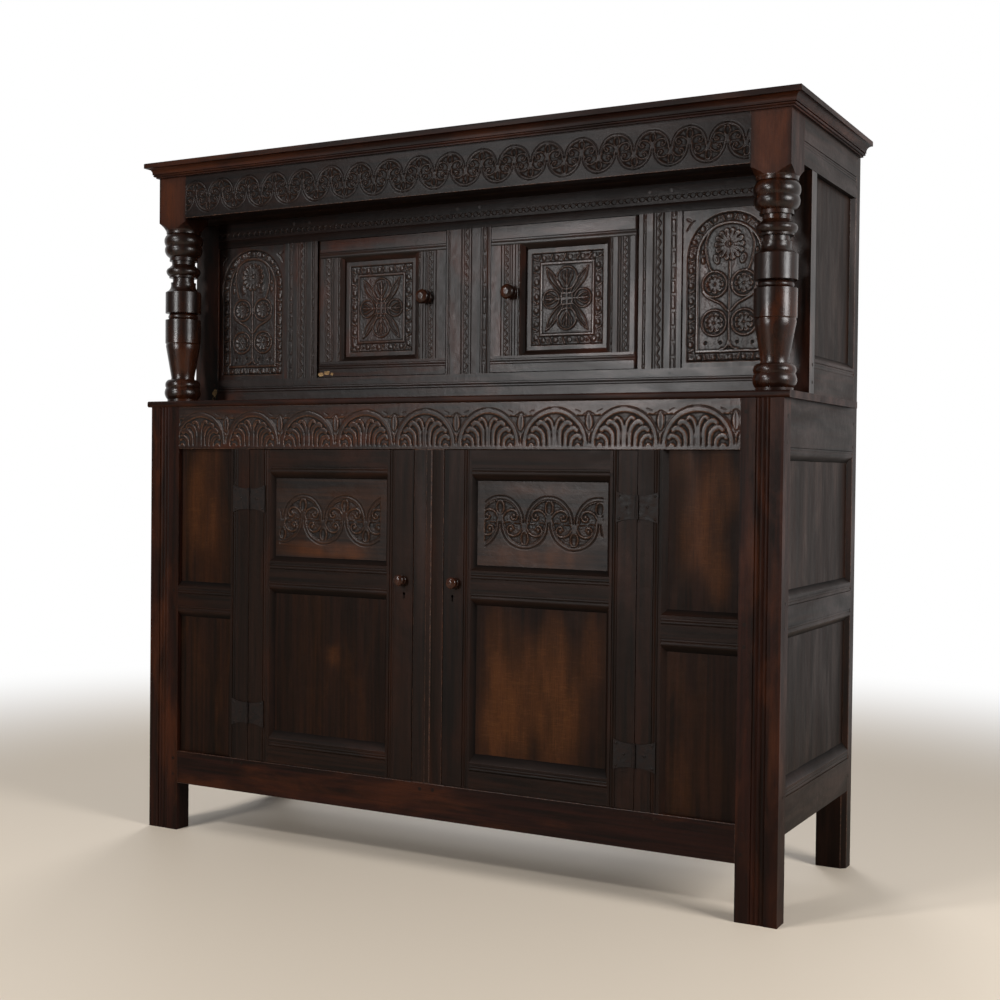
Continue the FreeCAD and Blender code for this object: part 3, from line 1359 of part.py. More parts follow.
# Upper doors hang on pins. Their rails run the full width, the stiles stand between them,
# and the front arris beside the pin is rounded about it.
def upper_door():
    left = recess_centre_edge + dims.door_gap
    right = upper_hinge_edge - dims.door_gap
    low = upper_door_low
    high = upper_door_high
    face = dims.recess_setback
    lock_width = dims.upper_door_lock_stile
    hinge_width = dims.upper_door_hinge_stile
    round_radius = dims.pivot_inset
    plan = place(extrude("upper_door_plan", "XY_Plane", [
        (left, 0), (right - round_radius, 0), (right, round_radius, QUARTER),
        (right, dims.door_thick), (left, dims.door_thick)], high - low), 0, face, low)
    rails = []
    for tag, rail_low, height, looks in (
            ("top", high - dims.upper_door_top_rail, dims.upper_door_top_rail,
             dict(rolled_edge=True, low_groove=True)),
            ("low", low, dims.upper_door_low_rail,
             dict(sill=dims.sill_rise, top_beads=True, top_groove=True))):
        section = rail_outline(height, dims.door_thick, **looks)
        run = place(extrude(f"upper_door_{tag}_run", "YZ_Plane", section, right - left),
                    left, face, rail_low)
        rails.append(common(f"upper_door_{tag}_blank", run, plan))
    open_low = low + dims.upper_door_low_rail
    open_high = high - dims.upper_door_top_rail
    stile_low = open_low - dims.sill_rise
    stile_height = open_high + dims.edge_slope - stile_low
    bore = dims.pivot_radius + dims.pin_clearance
    depth = dims.pivot_length + dims.pivot_end_gap
    rail_cuts = {"top": [rod("pivot_bore_top", pivot_x, pivot_y, high - depth, bore,
                             depth + dims.overrun)],
                 "low": [rod("pivot_bore_low", pivot_x, pivot_y, low - dims.overrun, bore,
                             depth + dims.overrun)]}
    knob_x = left + dims.upper_knob_inset
    pieces = []
    for tag, x, width, inner_first, radius in (("lock", left, lock_width, False, None),
                                               ("hinge", right - hinge_width, hinge_width, True,
                                                round_radius)):
        section = door_stile_outline(width, dims.door_thick, inner_first, radius)
        blank = place(extrude(f"upper_door_{tag}_blank", "XY_Plane", section, stile_height),
                      x, face, stile_low)
        foot, head = muntin_tenons(f"upper_door_{tag}_tenon", x, width, face, open_low, open_high)
        rail_cuts["low"].append(foot)
        rail_cuts["top"].append(head)
        scribed = cut(f"upper_door_{tag}_scribed", blank, *rails)
        if tag == "lock":
            scribed = cut("upper_door_lock_bored", scribed, knob_hole(
                "upper_knob_hole", knob_x, face, upper_knob_level))
        pieces.append(fuse(f"upper_door_{tag}_stile", scribed, foot, head))
    for tag, rail in (("top", rails[0]), ("low", rails[1])):
        pieces.append(cut(f"upper_door_{tag}_rail", rail, *rail_cuts[tag]))
    keep_pair("upper_door_frame", group("upper_door_frame", *pieces))
    keep_pair("upper_door_knob", knob("upper_door_knob", knob_x, face, upper_knob_level,
                                      dims.upper_knob_radius, dims.upper_knob_reach))
    # Panel with a raised border round a sunk centre
    open_left = left + lock_width
    open_width = right - hinge_width - open_left
    open_height = open_high - open_low
    plate_y = face + dims.panel_setback
    plate = box("upper_panel_plate", open_left - panel_bite, plate_y, open_low - panel_bite,
                open_width + panel_bite * 2, dims.panel_thick, open_height + panel_bite * 2)
    margin = dims.field_margin
    border = dims.field_border
    raised = box("upper_panel_raise", open_left + margin, plate_y - dims.field_raise,
                 open_low + margin, open_width - margin * 2, dims.field_raise,
                 open_height - margin * 2)
    inset = margin + border
    sunk = box("upper_panel_sunk", open_left + inset, plate_y - dims.field_raise - dims.overrun,
               open_low + inset, open_width - inset * 2,
               dims.field_sinking + dims.overrun, open_height - inset * 2)
    keep_pair("upper_door_panel", cut("upper_panel", fuse("upper_panel_blank", plate, raised), sunk))


upper_door()

doc.recompute()

# Check every object before anything is written
faults = [item.Name for item in doc.Objects
          if "Invalid" in item.State or "Error" in item.State]
for label, piece in NODES.items():
    shape = piece.Shape
    if shape.isNull() or not shape.isValid() or not shape.Solids:
        faults.append(label)
if faults:
    raise RuntimeError("objects that failed: " + ", ".join(faults))

os.makedirs("parts", exist_ok=True)
for label, piece in NODES.items():
    piece.Shape.exportStep(os.path.join("parts", label + ".step"))
print(len(NODES), "nodes,", sum(len(piece.Shape.Solids) for piece in NODES.values()), "solids")
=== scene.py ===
# %% [markdown]
# # A carved oak court cupboard
# This script dresses a joined oak cupboard: every board, moulding and hinge comes from the
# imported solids, and each gets the look of old waxed oak or forged iron. The carving is made
# here, because a chisel's marks are too fine for the solids. All lengths are in metres.

import json
import math
import random

import bmesh
import bpy
import numpy as np
from mathutils import Matrix, Vector


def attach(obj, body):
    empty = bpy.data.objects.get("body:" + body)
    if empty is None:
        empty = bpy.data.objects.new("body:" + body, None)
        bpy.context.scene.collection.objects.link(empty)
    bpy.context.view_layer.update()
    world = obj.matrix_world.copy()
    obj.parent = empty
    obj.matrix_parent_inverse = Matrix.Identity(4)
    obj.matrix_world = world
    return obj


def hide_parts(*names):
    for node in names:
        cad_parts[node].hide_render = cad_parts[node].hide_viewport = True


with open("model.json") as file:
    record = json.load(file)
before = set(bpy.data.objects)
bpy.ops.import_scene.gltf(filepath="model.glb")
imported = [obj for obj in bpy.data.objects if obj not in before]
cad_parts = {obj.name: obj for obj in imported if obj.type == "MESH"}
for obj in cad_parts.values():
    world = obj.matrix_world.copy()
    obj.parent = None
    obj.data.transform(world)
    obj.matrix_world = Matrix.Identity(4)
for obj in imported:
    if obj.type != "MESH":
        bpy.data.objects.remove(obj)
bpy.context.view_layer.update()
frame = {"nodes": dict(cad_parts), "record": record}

# %% Sizes that several steps share
MM = 0.001
FRONT = -0.2635          # the face of the lower case's stiles
RECESS = FRONT + 0.168   # the face of the set-back cupboard
FRIEZE = FRONT + 0.024   # the face of the frieze and of the post blocks
SIDES = ("left", "right")
print("faces of case, set-back cupboard and frieze:", FRONT, RECESS, FRIEZE)

# %% [markdown]
# ## Camera
# The photograph was taken a little to the right of the cupboard, at chest height. Distance,
# turn and lens were solved from the corners of the case, so the picture lines up with it.

# %% Camera
YAW, PITCH, ROLL = (math.radians(angle) for angle in (28.639, -1.074, 0.615))
LENS = 51.97
STAND = (1.7081, FRONT - 2.7916, 0.9073)


def aim(yaw, pitch, roll):
    """Turn of a camera that looks along +Y before it is turned."""
    ahead = Vector((-math.sin(yaw) * math.cos(pitch), math.cos(yaw) * math.cos(pitch), math.sin(pitch)))
    level = Vector((math.cos(yaw), math.sin(yaw), 0))
    up = level.cross(ahead)
    right = level * math.cos(roll) + up * math.sin(roll)
    top = up * math.cos(roll) - level * math.sin(roll)
    return Matrix((right, top, -ahead)).transposed().to_4x4()


camera_data = bpy.data.cameras.new("camera")
camera_data.lens = LENS
camera_data.sensor_width = 36
camera = bpy.data.objects.new("camera", camera_data)
bpy.context.collection.objects.link(camera)
camera.matrix_world = Matrix.Translation(STAND) @ aim(YAW, PITCH, ROLL)
bpy.context.scene.camera = camera
bpy.context.scene.view_settings.view_transform = "Standard"
print("camera at", [round(v, 3) for v in camera.location])

# %% [markdown]
# ## Colours and the one node helper
# Colours are written as the eye sees them, in sRGB hex, and one function turns them linear.
# Every node of every finish is added by one small function, with its settings and links.


# %% Node helper
def linear(code):
    """sRGB hex to a linear colour with alpha."""
    levels = [int(code[i:i + 2], 16) / 255 for i in (1, 3, 5)]
    return [v / 12.92 if v <= 0.04045 else ((v + 0.055) / 1.055) ** 2.4 for v in levels] + [1.0]


def add(tree, kind, inputs=None, **settings):
    """Adds one node and gives its main output. Inputs are values, or output sockets to link."""
    made = tree.nodes.new("ShaderNode" + kind)
    for key, value in settings.items():
        setattr(made, key, value)
    for key, value in (inputs or {}).items():
        if isinstance(value, bpy.types.NodeSocket):
            tree.links.new(value, made.inputs[key])
        else:
            made.inputs[key].default_value = value
    given = [socket for socket in made.outputs if socket.enabled]
    return next((socket for socket in given if socket.name == "Fac"), given[0] if given else None)


def new_material(name):
    material = bpy.data.materials.new(name)
    material.use_nodes = True
    material.node_tree.nodes.clear()
    return material, material.node_tree


print("the grey #808080 in linear light:", round(linear("#808080")[0], 3))

# %% [markdown]
# ## Waxed oak
# Three hundred years of wax, smoke and hands make oak almost black, with a red-brown glow
# where it is rubbed. The fibres run along each board, so every mesh carries its own grain
# coordinates: two across the board and the last along it, in metres, with a start of its own.
# Oak's marks at real size: pores 0.3 mm wide and up to 10 mm long, growth rings 3 to 8 mm
# apart, rays as wavy bands a few millimetres high on quartered boards. Pores and rings are
# drawn a little coarser so that they show. All of them are one kind of noise, drawn out along
# or across the board by a different length, so a table holds the lengths.

# %% Marks in oak
OAK_FIGURE = {  # across and along the board in millimetres, detail, how much the lines wander
    "rings": (9, 400, 3, 0.6), "fibres": (1.7, 70, 4, 0.0), "pores": (0.7, 14, 1, 0.0),
    "patches": (60, 240, 5, 0.5), "rays": (34, 4.5, 3, 1.6), "specks": (5, 5, 3, 0.0),
    "dents": (26, 26, 3, 0.0)}
# Marks a mesh carries: random tone, wear, and red patches and dark hollows that are partly painted light and
# shade.
MARKS_OF_AGE_AND_LIGHT = ("tone", "glow", "wear", "grime")
# Near black for dark wax in cuts and for painted shade in hollows and on sills.
GRIME_AND_SHADE_TONE = "#050302"
WAX_IOR = 1.45


def waxed_oak(name, deep, body, glow, rubbed_and_highlight, patchy=0.5, rough=0.42, shine=0.1, edge=0.0, rays=0.0):
    """Old oak. Colours run from the dark of the pores to the light wood of wear, on arrises also a painted
    highlight.

    Dust and smoke dull the wax, which shine allows for."""
    material, tree = new_material(name)
    grain = add(tree, "Attribute", attribute_name="grain").node.outputs["Vector"]
    figure = {}
    for label, (across, along, detail, wander) in OAK_FIGURE.items():
        scale = tuple(1 / (size * MM) for size in (across, across, along))
        drawn = add(tree, "VectorMath", {0: grain, 1: scale}, operation="MULTIPLY")
        figure[label] = add(tree, "TexNoise", {"Vector": drawn, "Scale": 1.0, "Detail": detail,
                                               "Roughness": 0.58, "Distortion": wander})
    marks_of_age_and_light = {label: add(tree, "Attribute", attribute_name=label) for label in MARKS_OF_AGE_AND_LIGHT}

    ringed = add(tree, "MapRange", {"Value": figure["rings"], "From Min": 0.36, "From Max": 0.66})
    colour = add(tree, "Mix", {0: ringed, 6: linear(deep), 7: linear(body)}, data_type="RGBA")
    patched = add(tree, "MapRange", {"Value": figure["patches"], "From Min": 0.45, "From Max": 0.72,
                                     "To Max": patchy}, interpolation_type="SMOOTHSTEP")
    warm = add(tree, "Math", {0: patched, 1: marks_of_age_and_light["glow"]}, operation="ADD", use_clamp=True)
    streaked = add(tree, "MapRange", {"Value": figure["fibres"], "From Min": 0.25, "From Max": 0.75,
                                      "To Min": 0.5})
    warm = add(tree, "Math", {0: warm, 1: streaked}, operation="MULTIPLY")
    colour = add(tree, "Mix", {0: warm, 6: colour, 7: linear(glow)}, data_type="RGBA")
    flecked = add(tree, "MapRange", {"Value": figure["rays"], "From Min": 0.48, "From Max": 0.70,
                                     "To Max": rays}, interpolation_type="SMOOTHSTEP")
    flecked = add(tree, "Math", {0: flecked, 1: warm}, operation="MULTIPLY")
    colour = add(tree, "Mix", {0: flecked, 6: colour, 7: linear(rubbed_and_highlight)}, data_type="RGBA")
    board_tone = add(tree, "MapRange", {"Value": marks_of_age_and_light["tone"], "To Min": 0.7, "To Max": 1.3})
    colour = add(tree, "HueSaturation", {"Value": board_tone, "Color": colour})
    open_pores = add(tree, "MapRange", {"Value": figure["pores"], "From Min": 0.60, "From Max": 0.72,
                                        "To Max": 0.55})
    colour = add(tree, "Mix", {0: open_pores, 6: colour, 7: linear(deep)}, data_type="RGBA")

    uneven = add(tree, "MapRange", {"Value": figure["specks"], "From Min": 0.35, "From Max": 0.65,
                                    "To Min": 0.15})
    worn = add(tree, "Math", {0: marks_of_age_and_light["wear"], 1: uneven}, operation="MULTIPLY")
    # Arrises are lightened: worn wax and a painted highlight.
    worn_edge_and_highlight = add(tree, "MapRange", {"Value": figure["specks"], "From Min": 0.45, "From Max": 0.7,
                                       "To Max": edge})
    worn = add(tree, "Math", {0: worn, 1: worn_edge_and_highlight}, operation="ADD", use_clamp=True)
    colour = add(tree, "Mix", {0: worn, 6: colour, 7: linear(rubbed_and_highlight)}, data_type="RGBA")
    # Dark wax, and painted shade in hollows and on sills, take the colour to near black.
    colour = add(tree, "Mix", {0: marks_of_age_and_light["grime"], 6: colour, 7: linear(GRIME_AND_SHADE_TONE)}, data_type="RGBA")

    polish = add(tree, "MapRange", {"Value": figure["patches"], "From Min": 0.3, "From Max": 0.75,
                                    "To Min": rough + 0.12, "To Max": rough - 0.06})
    polish = add(tree, "Math", {0: marks_of_age_and_light["wear"], 1: -0.1, 2: polish}, operation="MULTIPLY_ADD")
    dull = add(tree, "Math", {0: marks_of_age_and_light["grime"], 1: 0.4, 2: polish}, operation="MULTIPLY_ADD",
               use_clamp=True)
    depth = add(tree, "Math", {0: figure["pores"], 1: -0.8, 2: figure["fibres"]}, operation="MULTIPLY_ADD")
    grainy = add(tree, "Bump", {"Strength": 0.35, "Distance": 0.2 * MM, "Height": depth})
    bumped = add(tree, "Bump", {"Strength": 0.5, "Distance": 1.2 * MM, "Height": figure["dents"],
                                "Normal": grainy})
    shader = add(tree, "BsdfPrincipled", {"Base Color": colour, "Roughness": dull, "Normal": bumped,
                                          "Specular IOR Level": shine, "IOR": WAX_IOR})
    add(tree, "OutputMaterial", {"Surface": shader})
    return material


print("marks in oak:", ", ".join(OAK_FIGURE))

# %% [markdown]
# ## One oak, many finishes
# It is all one wood, but each place had its own wear, and some finishes carry painted light or
# shade. Four colours tell a finish: the dark of the pores, the wood, its red glow under thin wax,
# and the wood that hands have rubbed, on arrises also a painted highlight. Shine says how much
# light the wax sends back; dust in the wax makes it weak on frames.

# %% Oak finishes
# Riven oak with many coats of dark wax: frames look black-brown and dull.
OAK = waxed_oak("waxed_oak", "#0b0502", "#1a0d07", "#2f170d", "#40281b", shine=0.09)
# The same oak on an arris, where dusting has worn the wax to a light, polished line; the light line is also a
# painted highlight.
OAK_EDGE_WEAR_AND_HIGHLIGHT = waxed_oak("oak_edge_wear_and_highlight", "#120906", "#26140c", "#3b1f12", "#5d3d2a", edge=0.7,
                     shine=0.3, rough=0.34)
# Oak of the front's outer boards and the cornice: thinner wax lets red patches through.
RED_OAK = waxed_oak("red_oak_front", "#0e0502", "#210d07", "#42200f", "#523022", patchy=0.65,
                    shine=0.08)
# Quartered oak of the flat panels: rays show, and the middle glows orange.
PANEL_OAK = waxed_oak("waxed_oak_panel", "#0b0502", "#1a0c06", "#70401c", "#8a5a30", patchy=0.06,
                      shine=0.065, rough=0.44, rays=0.3)
# Carved oak of the set-back cupboard: wax lies thick in the cuts, and its ridges glint.
CARVED_OAK = waxed_oak("waxed_oak_carving", "#090402", "#1b0e09", "#3c1d12", "#3a261b", patchy=0.8,
                       shine=0.27, rough=0.32)
# Carved door panels below: redder wood, a softer glint.
CARVED_PANEL_OAK = waxed_oak("waxed_oak_carved_panel", "#090402", "#1e1008", "#5f3418", "#3e291c",
                             patchy=0.1, shine=0.17, rough=0.34)
# The lunette rail is at the height of a hand: its wax is thinner, and browner wood shows; its lighter wood
# and ridges are also painted sheen.
LUNETTE_OAK_AND_SHEEN = waxed_oak("waxed_oak_lunettes_sheen", "#0c0603", "#25140c", "#442214", "#523524", patchy=0.7,
                        shine=0.21, rough=0.3)
# Oak high up, under the cornice: smoke of candles and hearth has left it almost black. On the rail under the
# canopy the same near black is painted shade.
SMOKED_OAK_AND_SHADE = waxed_oak("smoked_oak_frieze_and_shade", "#060302", "#140a07", "#20120c", "#2c1d15", shine=0.11,
                       rough=0.34)
# Oak from the lathe: its round surface took the best polish, with small sharp lights.
TURNED_OAK = waxed_oak("turned_oak", "#0e0603", "#1f0f09", "#4c240f", "#4b2e1f", patchy=0.6,
                       shine=0.3, rough=0.24)
# Sawn oak that was never waxed, at the back and inside: grey-brown, matt and rough.
DRY_OAK = waxed_oak("unwaxed_oak", "#2a1d14", "#4a3625", "#5d432c", "#7d6248", shine=0.3, rough=0.75)
# Fresh wood in a broken corner: pale straw, matt.
RAW_OAK = waxed_oak("broken_oak", "#4a3018", "#9c8058", "#ab9166", "#bda67f", shine=0.3, rough=0.8)
print("oak finishes made")

# %% [markdown]
# ## Forged iron
# Hinges, pins and locks are blacksmith's work: iron hammered a little uneven. Wax and rust
# have browned it until it looks like the oak around it, so little of the metal shines.


# %% Forged iron
BLACK_IRON, RUST = "#0d0705", "#1d100a"


def forged_iron(name):
    material, tree = new_material(name)
    place = add(tree, "TexCoord").node.outputs["Object"]
    rust = add(tree, "TexNoise", {"Vector": place, "Scale": 1 / (9 * MM), "Detail": 5, "Roughness": 0.65})
    hammer = add(tree, "TexVoronoi", {"Vector": place, "Scale": 1 / (7 * MM)}, feature="SMOOTH_F1")
    rusty = add(tree, "MapRange", {"Value": rust, "From Min": 0.45, "From Max": 0.72})
    colour = add(tree, "Mix", {0: rusty, 6: linear(BLACK_IRON), 7: linear(RUST)}, data_type="RGBA")
    rough = add(tree, "MapRange", {"Value": rust, "From Min": 0.3, "From Max": 0.7, "To Min": 0.42,
                                   "To Max": 0.68})
    bump = add(tree, "Bump", {"Strength": 0.6, "Distance": 0.5 * MM, "Height": hammer})
    shader = add(tree, "BsdfPrincipled", {"Base Color": colour, "Metallic": 0.15, "Roughness": rough,
                                          "Specular IOR Level": 0.15, "Normal": bump})
    add(tree, "OutputMaterial", {"Surface": shader})
    return material


# Wrought iron under wax and rust: almost black-brown, dull, with dimples that the hammer left.
IRON = forged_iron("forged_iron")
print("iron finish made")

# %% [markdown]
# ## Boards from the solids
# A node can hold several boards that touch. Each board is lifted out as its own closed mesh,
# and a bevel softens its arrises as three centuries of dusting leave them. The softened strip
# has its own, lighter finish: worn wax, and a painted highlight. Where several boards share an
# edge, the angles of the faces round that edge tell which of them bound the same board.


# %% Boards of a node
def mesh_of(name):
    """Corner points and triangles of a node, with corners at one place joined."""
    mesh = frame["nodes"][name].data
    mesh.calc_loop_triangles()
    points = np.empty(len(mesh.vertices) * 3)
    mesh.vertices.foreach_get("co", points)
    tris = np.empty(len(mesh.loop_triangles) * 3, dtype=np.int64)
    mesh.loop_triangles.foreach_get("vertices", tris)
    keys, back = np.unique(np.round(points.reshape(-1, 3), 6), axis=0, return_inverse=True)
    tris = back.reshape(-1)[tris].reshape(-1, 3)
    whole = (tris[:, 0] != tris[:, 1]) & (tris[:, 1] != tris[:, 2]) & (tris[:, 0] != tris[:, 2])
    return keys, tris[whole]


SAME_TURN = 1e-4  # radians; faces nearer than this lie in one plane


def same_board(keys, tris, edge, faces):
    """Pairs of faces round an edge that bound one board, so that its wood lies between them."""
    foot, head = keys[edge[0]], keys[edge[1]]
    along = (head - foot) / np.linalg.norm(head - foot)
    starts, stops = [], []
    for face in faces:
        a, b, c = keys[tris[face]]
        third = keys[next(v for v in tris[face] if v not in edge)] - foot
        away = third - along * (third @ along)
        away /= np.linalg.norm(away)
        if not starts and not stops:
            zero, level = away, np.cross(along, away)
        angle = math.atan2(away @ level, away @ zero)
        opens = -np.cross(b - a, c - a) @ np.cross(along, away) > 0
        (starts if opens else stops).append((angle, face))
    pairs = []
    for angle, face in starts:
        turns = [((other - angle) % math.tau, mate) for other, mate in stops]
        turns = [(turn if SAME_TURN < turn < math.tau - SAME_TURN else math.tau, mate)
                 for turn, mate in turns]
        pairs.append((face, min(turns)[1]))
    return pairs


print("corner points of the shelf:", len(mesh_of("mid_shelf")[0]))

# %% Closed boards
BOARDS = {}


def boards_of(name):
    """Splits a node's mesh into closed boards: a list of (corner points, triangles)."""
    if name in BOARDS:
        return BOARDS[name]
    keys, tris = mesh_of(name)
    sharing = {}
    for index, (a, b, c) in enumerate(tris.tolist()):
        for edge in ((a, b), (b, c), (c, a)):
            sharing.setdefault((min(edge), max(edge)), []).append(index)
    parent = list(range(len(tris)))

    def root(item):
        while parent[item] != item:
            parent[item] = parent[parent[item]]
            item = parent[item]
        return item

    for edge, faces in sharing.items():
        for one, other in [faces] if len(faces) == 2 else same_board(keys, tris, edge, faces):
            parent[root(one)] = root(other)
    groups = {}
    for index in range(len(tris)):
        groups.setdefault(root(index), []).append(index)
    BOARDS[name] = []
    for members in groups.values():
        used, local = np.unique(tris[members], return_inverse=True)
        BOARDS[name].append((keys[used], local.reshape(-1, 3)))
    return BOARDS[name]


def extent(points):
    return points.min(axis=0), points.max(axis=0)


print("boards of the cornice:", len(boards_of("cornice")))

# %% What the record says of a node
def body_of(node):
    return next(body for body, members in frame["record"]["behaviour"]["bodies"].items()
                if node in members)


def slot_of(node):
    return next(item["material_slot"] for item in frame["record"]["subparts"] if item["node"] == node)


print("the left lock bolt rides on", body_of("lock_bolt_left"))

# %% Grain and placing
ALONG = {0: (1, 2, 0), 1: (0, 2, 1), 2: (0, 1, 2)}  # axes across and along, by the grain's axis
MARKS_OF_AGE_AND_LIGHT = ("tone", "glow", "wear", "grime")


def grain_start(name):
    """The same start for every piece cut from one board, so that their grain runs on."""
    own = random.Random(name)
    return np.array([own.uniform(-3, 3) for _ in range(3)]), own.uniform(0.2, 0.8)


def set_grain(mesh, grain, **marks):
    """Stores the grain coordinates and the marks that the oak finish reads: tone, wear, and colour marks that
    partly paint light and shade.
    """
    grain = np.array(grain, dtype=np.float32)
    mesh.attributes.new("grain", "FLOAT_VECTOR", "POINT").data.foreach_set("vector", grain.ravel())
    for label in MARKS_OF_AGE_AND_LIGHT:
        values = np.ascontiguousarray(np.broadcast_to(marks.get(label, 0.0), len(grain)), dtype=np.float32)
        mesh.attributes.new(label, "FLOAT", "POINT").data.foreach_set("value", values)


print("where the shelf's grain starts:", grain_start("mid_shelf 0")[0].round(2))

# %% Placing a piece
def place_piece(name, mesh, materials, body, node_names=(), slot="oak"):
    piece = bpy.data.objects.new(name, mesh)
    bpy.context.collection.objects.link(piece)
    for material in materials:
        mesh.materials.append(material)
    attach(piece, body)
    if node_names:
        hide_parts(*node_names)
    return piece


# %% Blocks of the posts
SHARP = math.radians(32)        # edges sharper than this are arrises
SILL_DEPTH = (3 * MM, 15 * MM)  # how far behind a rail's face its panel side lies
# painted shade laid on a rail's slopes where they run down to its panel
SILL_SHADE = 0.85
BLOCK_STRIPS = 8                # a post's block is cut in this many strips each way
# the red on a block's front is the wood's own, and in part painted light
BLOCK_RED_AND_LIGHT = 0.75                # how much red shows in the middle of its front


def cut_block(board, foot):
    """Cuts what stands above foot in strips, so that its colour can change across a face."""
    low, high = extent(np.array([v.co for v in board.verts if v.co.z > foot]))
    for axis in (0, 2):
        for strip in range(1, BLOCK_STRIPS):
            level = Vector(low + (high - low) * strip / BLOCK_STRIPS)
            faces = [face for face in board.faces if face.calc_center_median().z > foot]
            edges = {edge for face in faces for edge in face.edges}
            corners = {corner for face in faces for corner in face.verts}
            bmesh.ops.bisect_plane(board, geom=[*faces, *edges, *corners], plane_co=level,
                                   plane_no=Vector([float(axis == i) for i in range(3)]))
    return low, high


def block_red_and_light(spot, low, high):
    """The middle of a block's front is worn to red, fading towards its edges, and in part painted light; the
    shaded sides get none.
    """
    if spot[1] > low[1] + 1 * MM:
        return 0.0
    across, up = (2 * (spot[i] - low[i]) / (high[i] - low[i]) - 1 for i in (0, 2))
    return BLOCK_RED_AND_LIGHT * max(0.0, 1 - across ** 4) * max(0.0, 1 - (up + 0.1) ** 4)


print("red in the middle of a block:", round(block_red_and_light((0, 0, 0), (-1, 0, -1), (1, 1, 1)), 2))

# %% Aged copies
def aged_copy(node, finish, edge_finish, arris=1.2 * MM, axis=None, skip=None, block_foot=None,
              block_finish=None, sills=False):
    """A node's boards with softened arrises and grain along each board.

    With sills, the slopes that run down to a panel get painted shade where they meet it. What stands
    above block_foot is a post's block, with a finish of its own."""
    whole = bmesh.new()
    grain, tone, glow, grime = [], [], [], []
    for index, (points, tris) in enumerate(boards_of(node)):
        low, high = extent(points)
        if skip and skip(low, high):
            continue
        board = bmesh.new()
        made = [board.verts.new(point) for point in points]
        for a, b, c in tris.tolist():
            board.faces.new((made[a], made[b], made[c]))
        block = cut_block(board, block_foot) if block_foot and high[2] > block_foot else None
        run = int(np.argmax(high - low)) if axis is None else axis
        start, shade = grain_start(f"{node} {index}")
        board.verts.index_update()  # the faces below look up their corners by number
        copies = [whole.verts.new(v.co) for v in board.verts]
        grain += [[v.co[i] + offset for i, offset in zip(ALONG[run], start)] for v in board.verts]
        tone += [shade] * len(board.verts)
        glow += [block_red_and_light(v.co, *block) if block and v.co.z > block_foot else 0.0 for v in board.verts]
        thin = int(np.argmin(high - low))
        depths = [min(v.co[thin] - low[thin], high[thin] - v.co[thin]) for v in board.verts]
        grime += [SILL_SHADE if sills and SILL_DEPTH[0] < depth < SILL_DEPTH[1] else 0.0 for depth in depths]
        for face in board.faces:
            made = whole.faces.new([copies[v.index] for v in face.verts])
            made.material_index = 2 if block and face.calc_center_median().z > block_foot else 0
        board.free()
    mesh = bpy.data.meshes.new(node + "_aged")
    whole.to_mesh(mesh)
    whole.free()
    set_grain(mesh, grain, tone=tone, glow=glow, grime=grime)
    mesh.shade_smooth()
    mesh.set_sharp_from_angle(angle=SHARP)
    finishes = [finish, edge_finish] + ([block_finish] if block_finish else [])
    piece = place_piece("oak_" + node, mesh, finishes, body_of(node), [node], slot_of(node))
    soft = piece.modifiers.new("arris", "BEVEL")
    soft.width, soft.segments = arris, 2
    soft.limit_method, soft.angle_limit = "ANGLE", SHARP
    soft.harden_normals = True
    soft.material = 1
    soft.use_clamp_overlap = finish is not DRY_OAK  # the clamp is off for the unwaxed boards
    return piece


def both(*names):
    return [f"{name}_{side}" for name in names for side in SIDES]


# %% [markdown]
# ## Plain framing
# Stiles, rails, muntins, the shelf and the cornice are the imported boards themselves. The
# turned posts and knobs have their grain upright; boards that nobody waxed are paler. The
# square block at the top of each post glows red in the middle of its front, the wood's red and
# in part painted light, while its shaded sides get none; so its faces are cut in strips, and
# the glow fades from one corner of a strip to the next.

# %% Timbers
framing = {
    OAK: both("rear_stile", "hinge_muntin", "side_rails", "upper_side_rails", "lower_door_frame")
         + ["centre_muntin", "bay_rails", "soffit_boards"],
    RED_OAK: both("front_stile") + ["front_bottom_rail", "mid_shelf", "cornice"],
    CARVED_OAK: both("end_stile") + ["recess_base_rail"],
    LUNETTE_OAK_AND_SHEEN: ["lunette_rail"],
    # the rail under the canopy is made near black as painted shade
    SMOKED_OAK_AND_SHADE: ["frieze_rail", "recess_top_rail"]}
with_sills = both("lower_door_frame", "side_rails", "upper_side_rails") + ["bay_rails"]
for finish, nodes in framing.items():
    for node in nodes:
        aged_copy(node, finish, OAK_EDGE_WEAR_AND_HIGHLIGHT, sills=node in with_sills)
UPRIGHT = 100 * MM  # boards of an upper door that are taller than this are its stiles, carved later
for node in both("upper_door_frame"):
    aged_copy(node, CARVED_OAK, OAK_EDGE_WEAR_AND_HIGHLIGHT, skip=lambda low, high: high[2] - low[2] > UPRIGHT)
BLOCK_FOOT = 1516 * MM
TURNED_ARRIS, SAWN_ARRIS = 0.6 * MM, 1.8 * MM
for node in both("post"):
    aged_copy(node, TURNED_OAK, TURNED_OAK, axis=2, arris=TURNED_ARRIS, block_foot=BLOCK_FOOT,
              block_finish=RED_OAK)
for node in both("lower_door_knob", "upper_door_knob"):
    aged_copy(node, TURNED_OAK, TURNED_OAK, axis=2, arris=TURNED_ARRIS)
for node in ("back_rails", "back_boards", "floor_boards", "top_boards"):
    aged_copy(node, DRY_OAK, OAK, arris=SAWN_ARRIS)  # old dirt makes the seams as dark as waxed oak
ironwork = both("door_hinge_leaves", "lock_plate", "lock_bolt")
ironwork += ["frame_hinge_leaves", "hinge_pins", "pivot_pins"]
for node in ironwork:
    item = frame["nodes"][node]
    item.data.materials.clear()
    item.data.materials.append(IRON)
print("framing nodes dressed:", sum(map(len, framing.values())), "iron nodes:", len(ironwork))

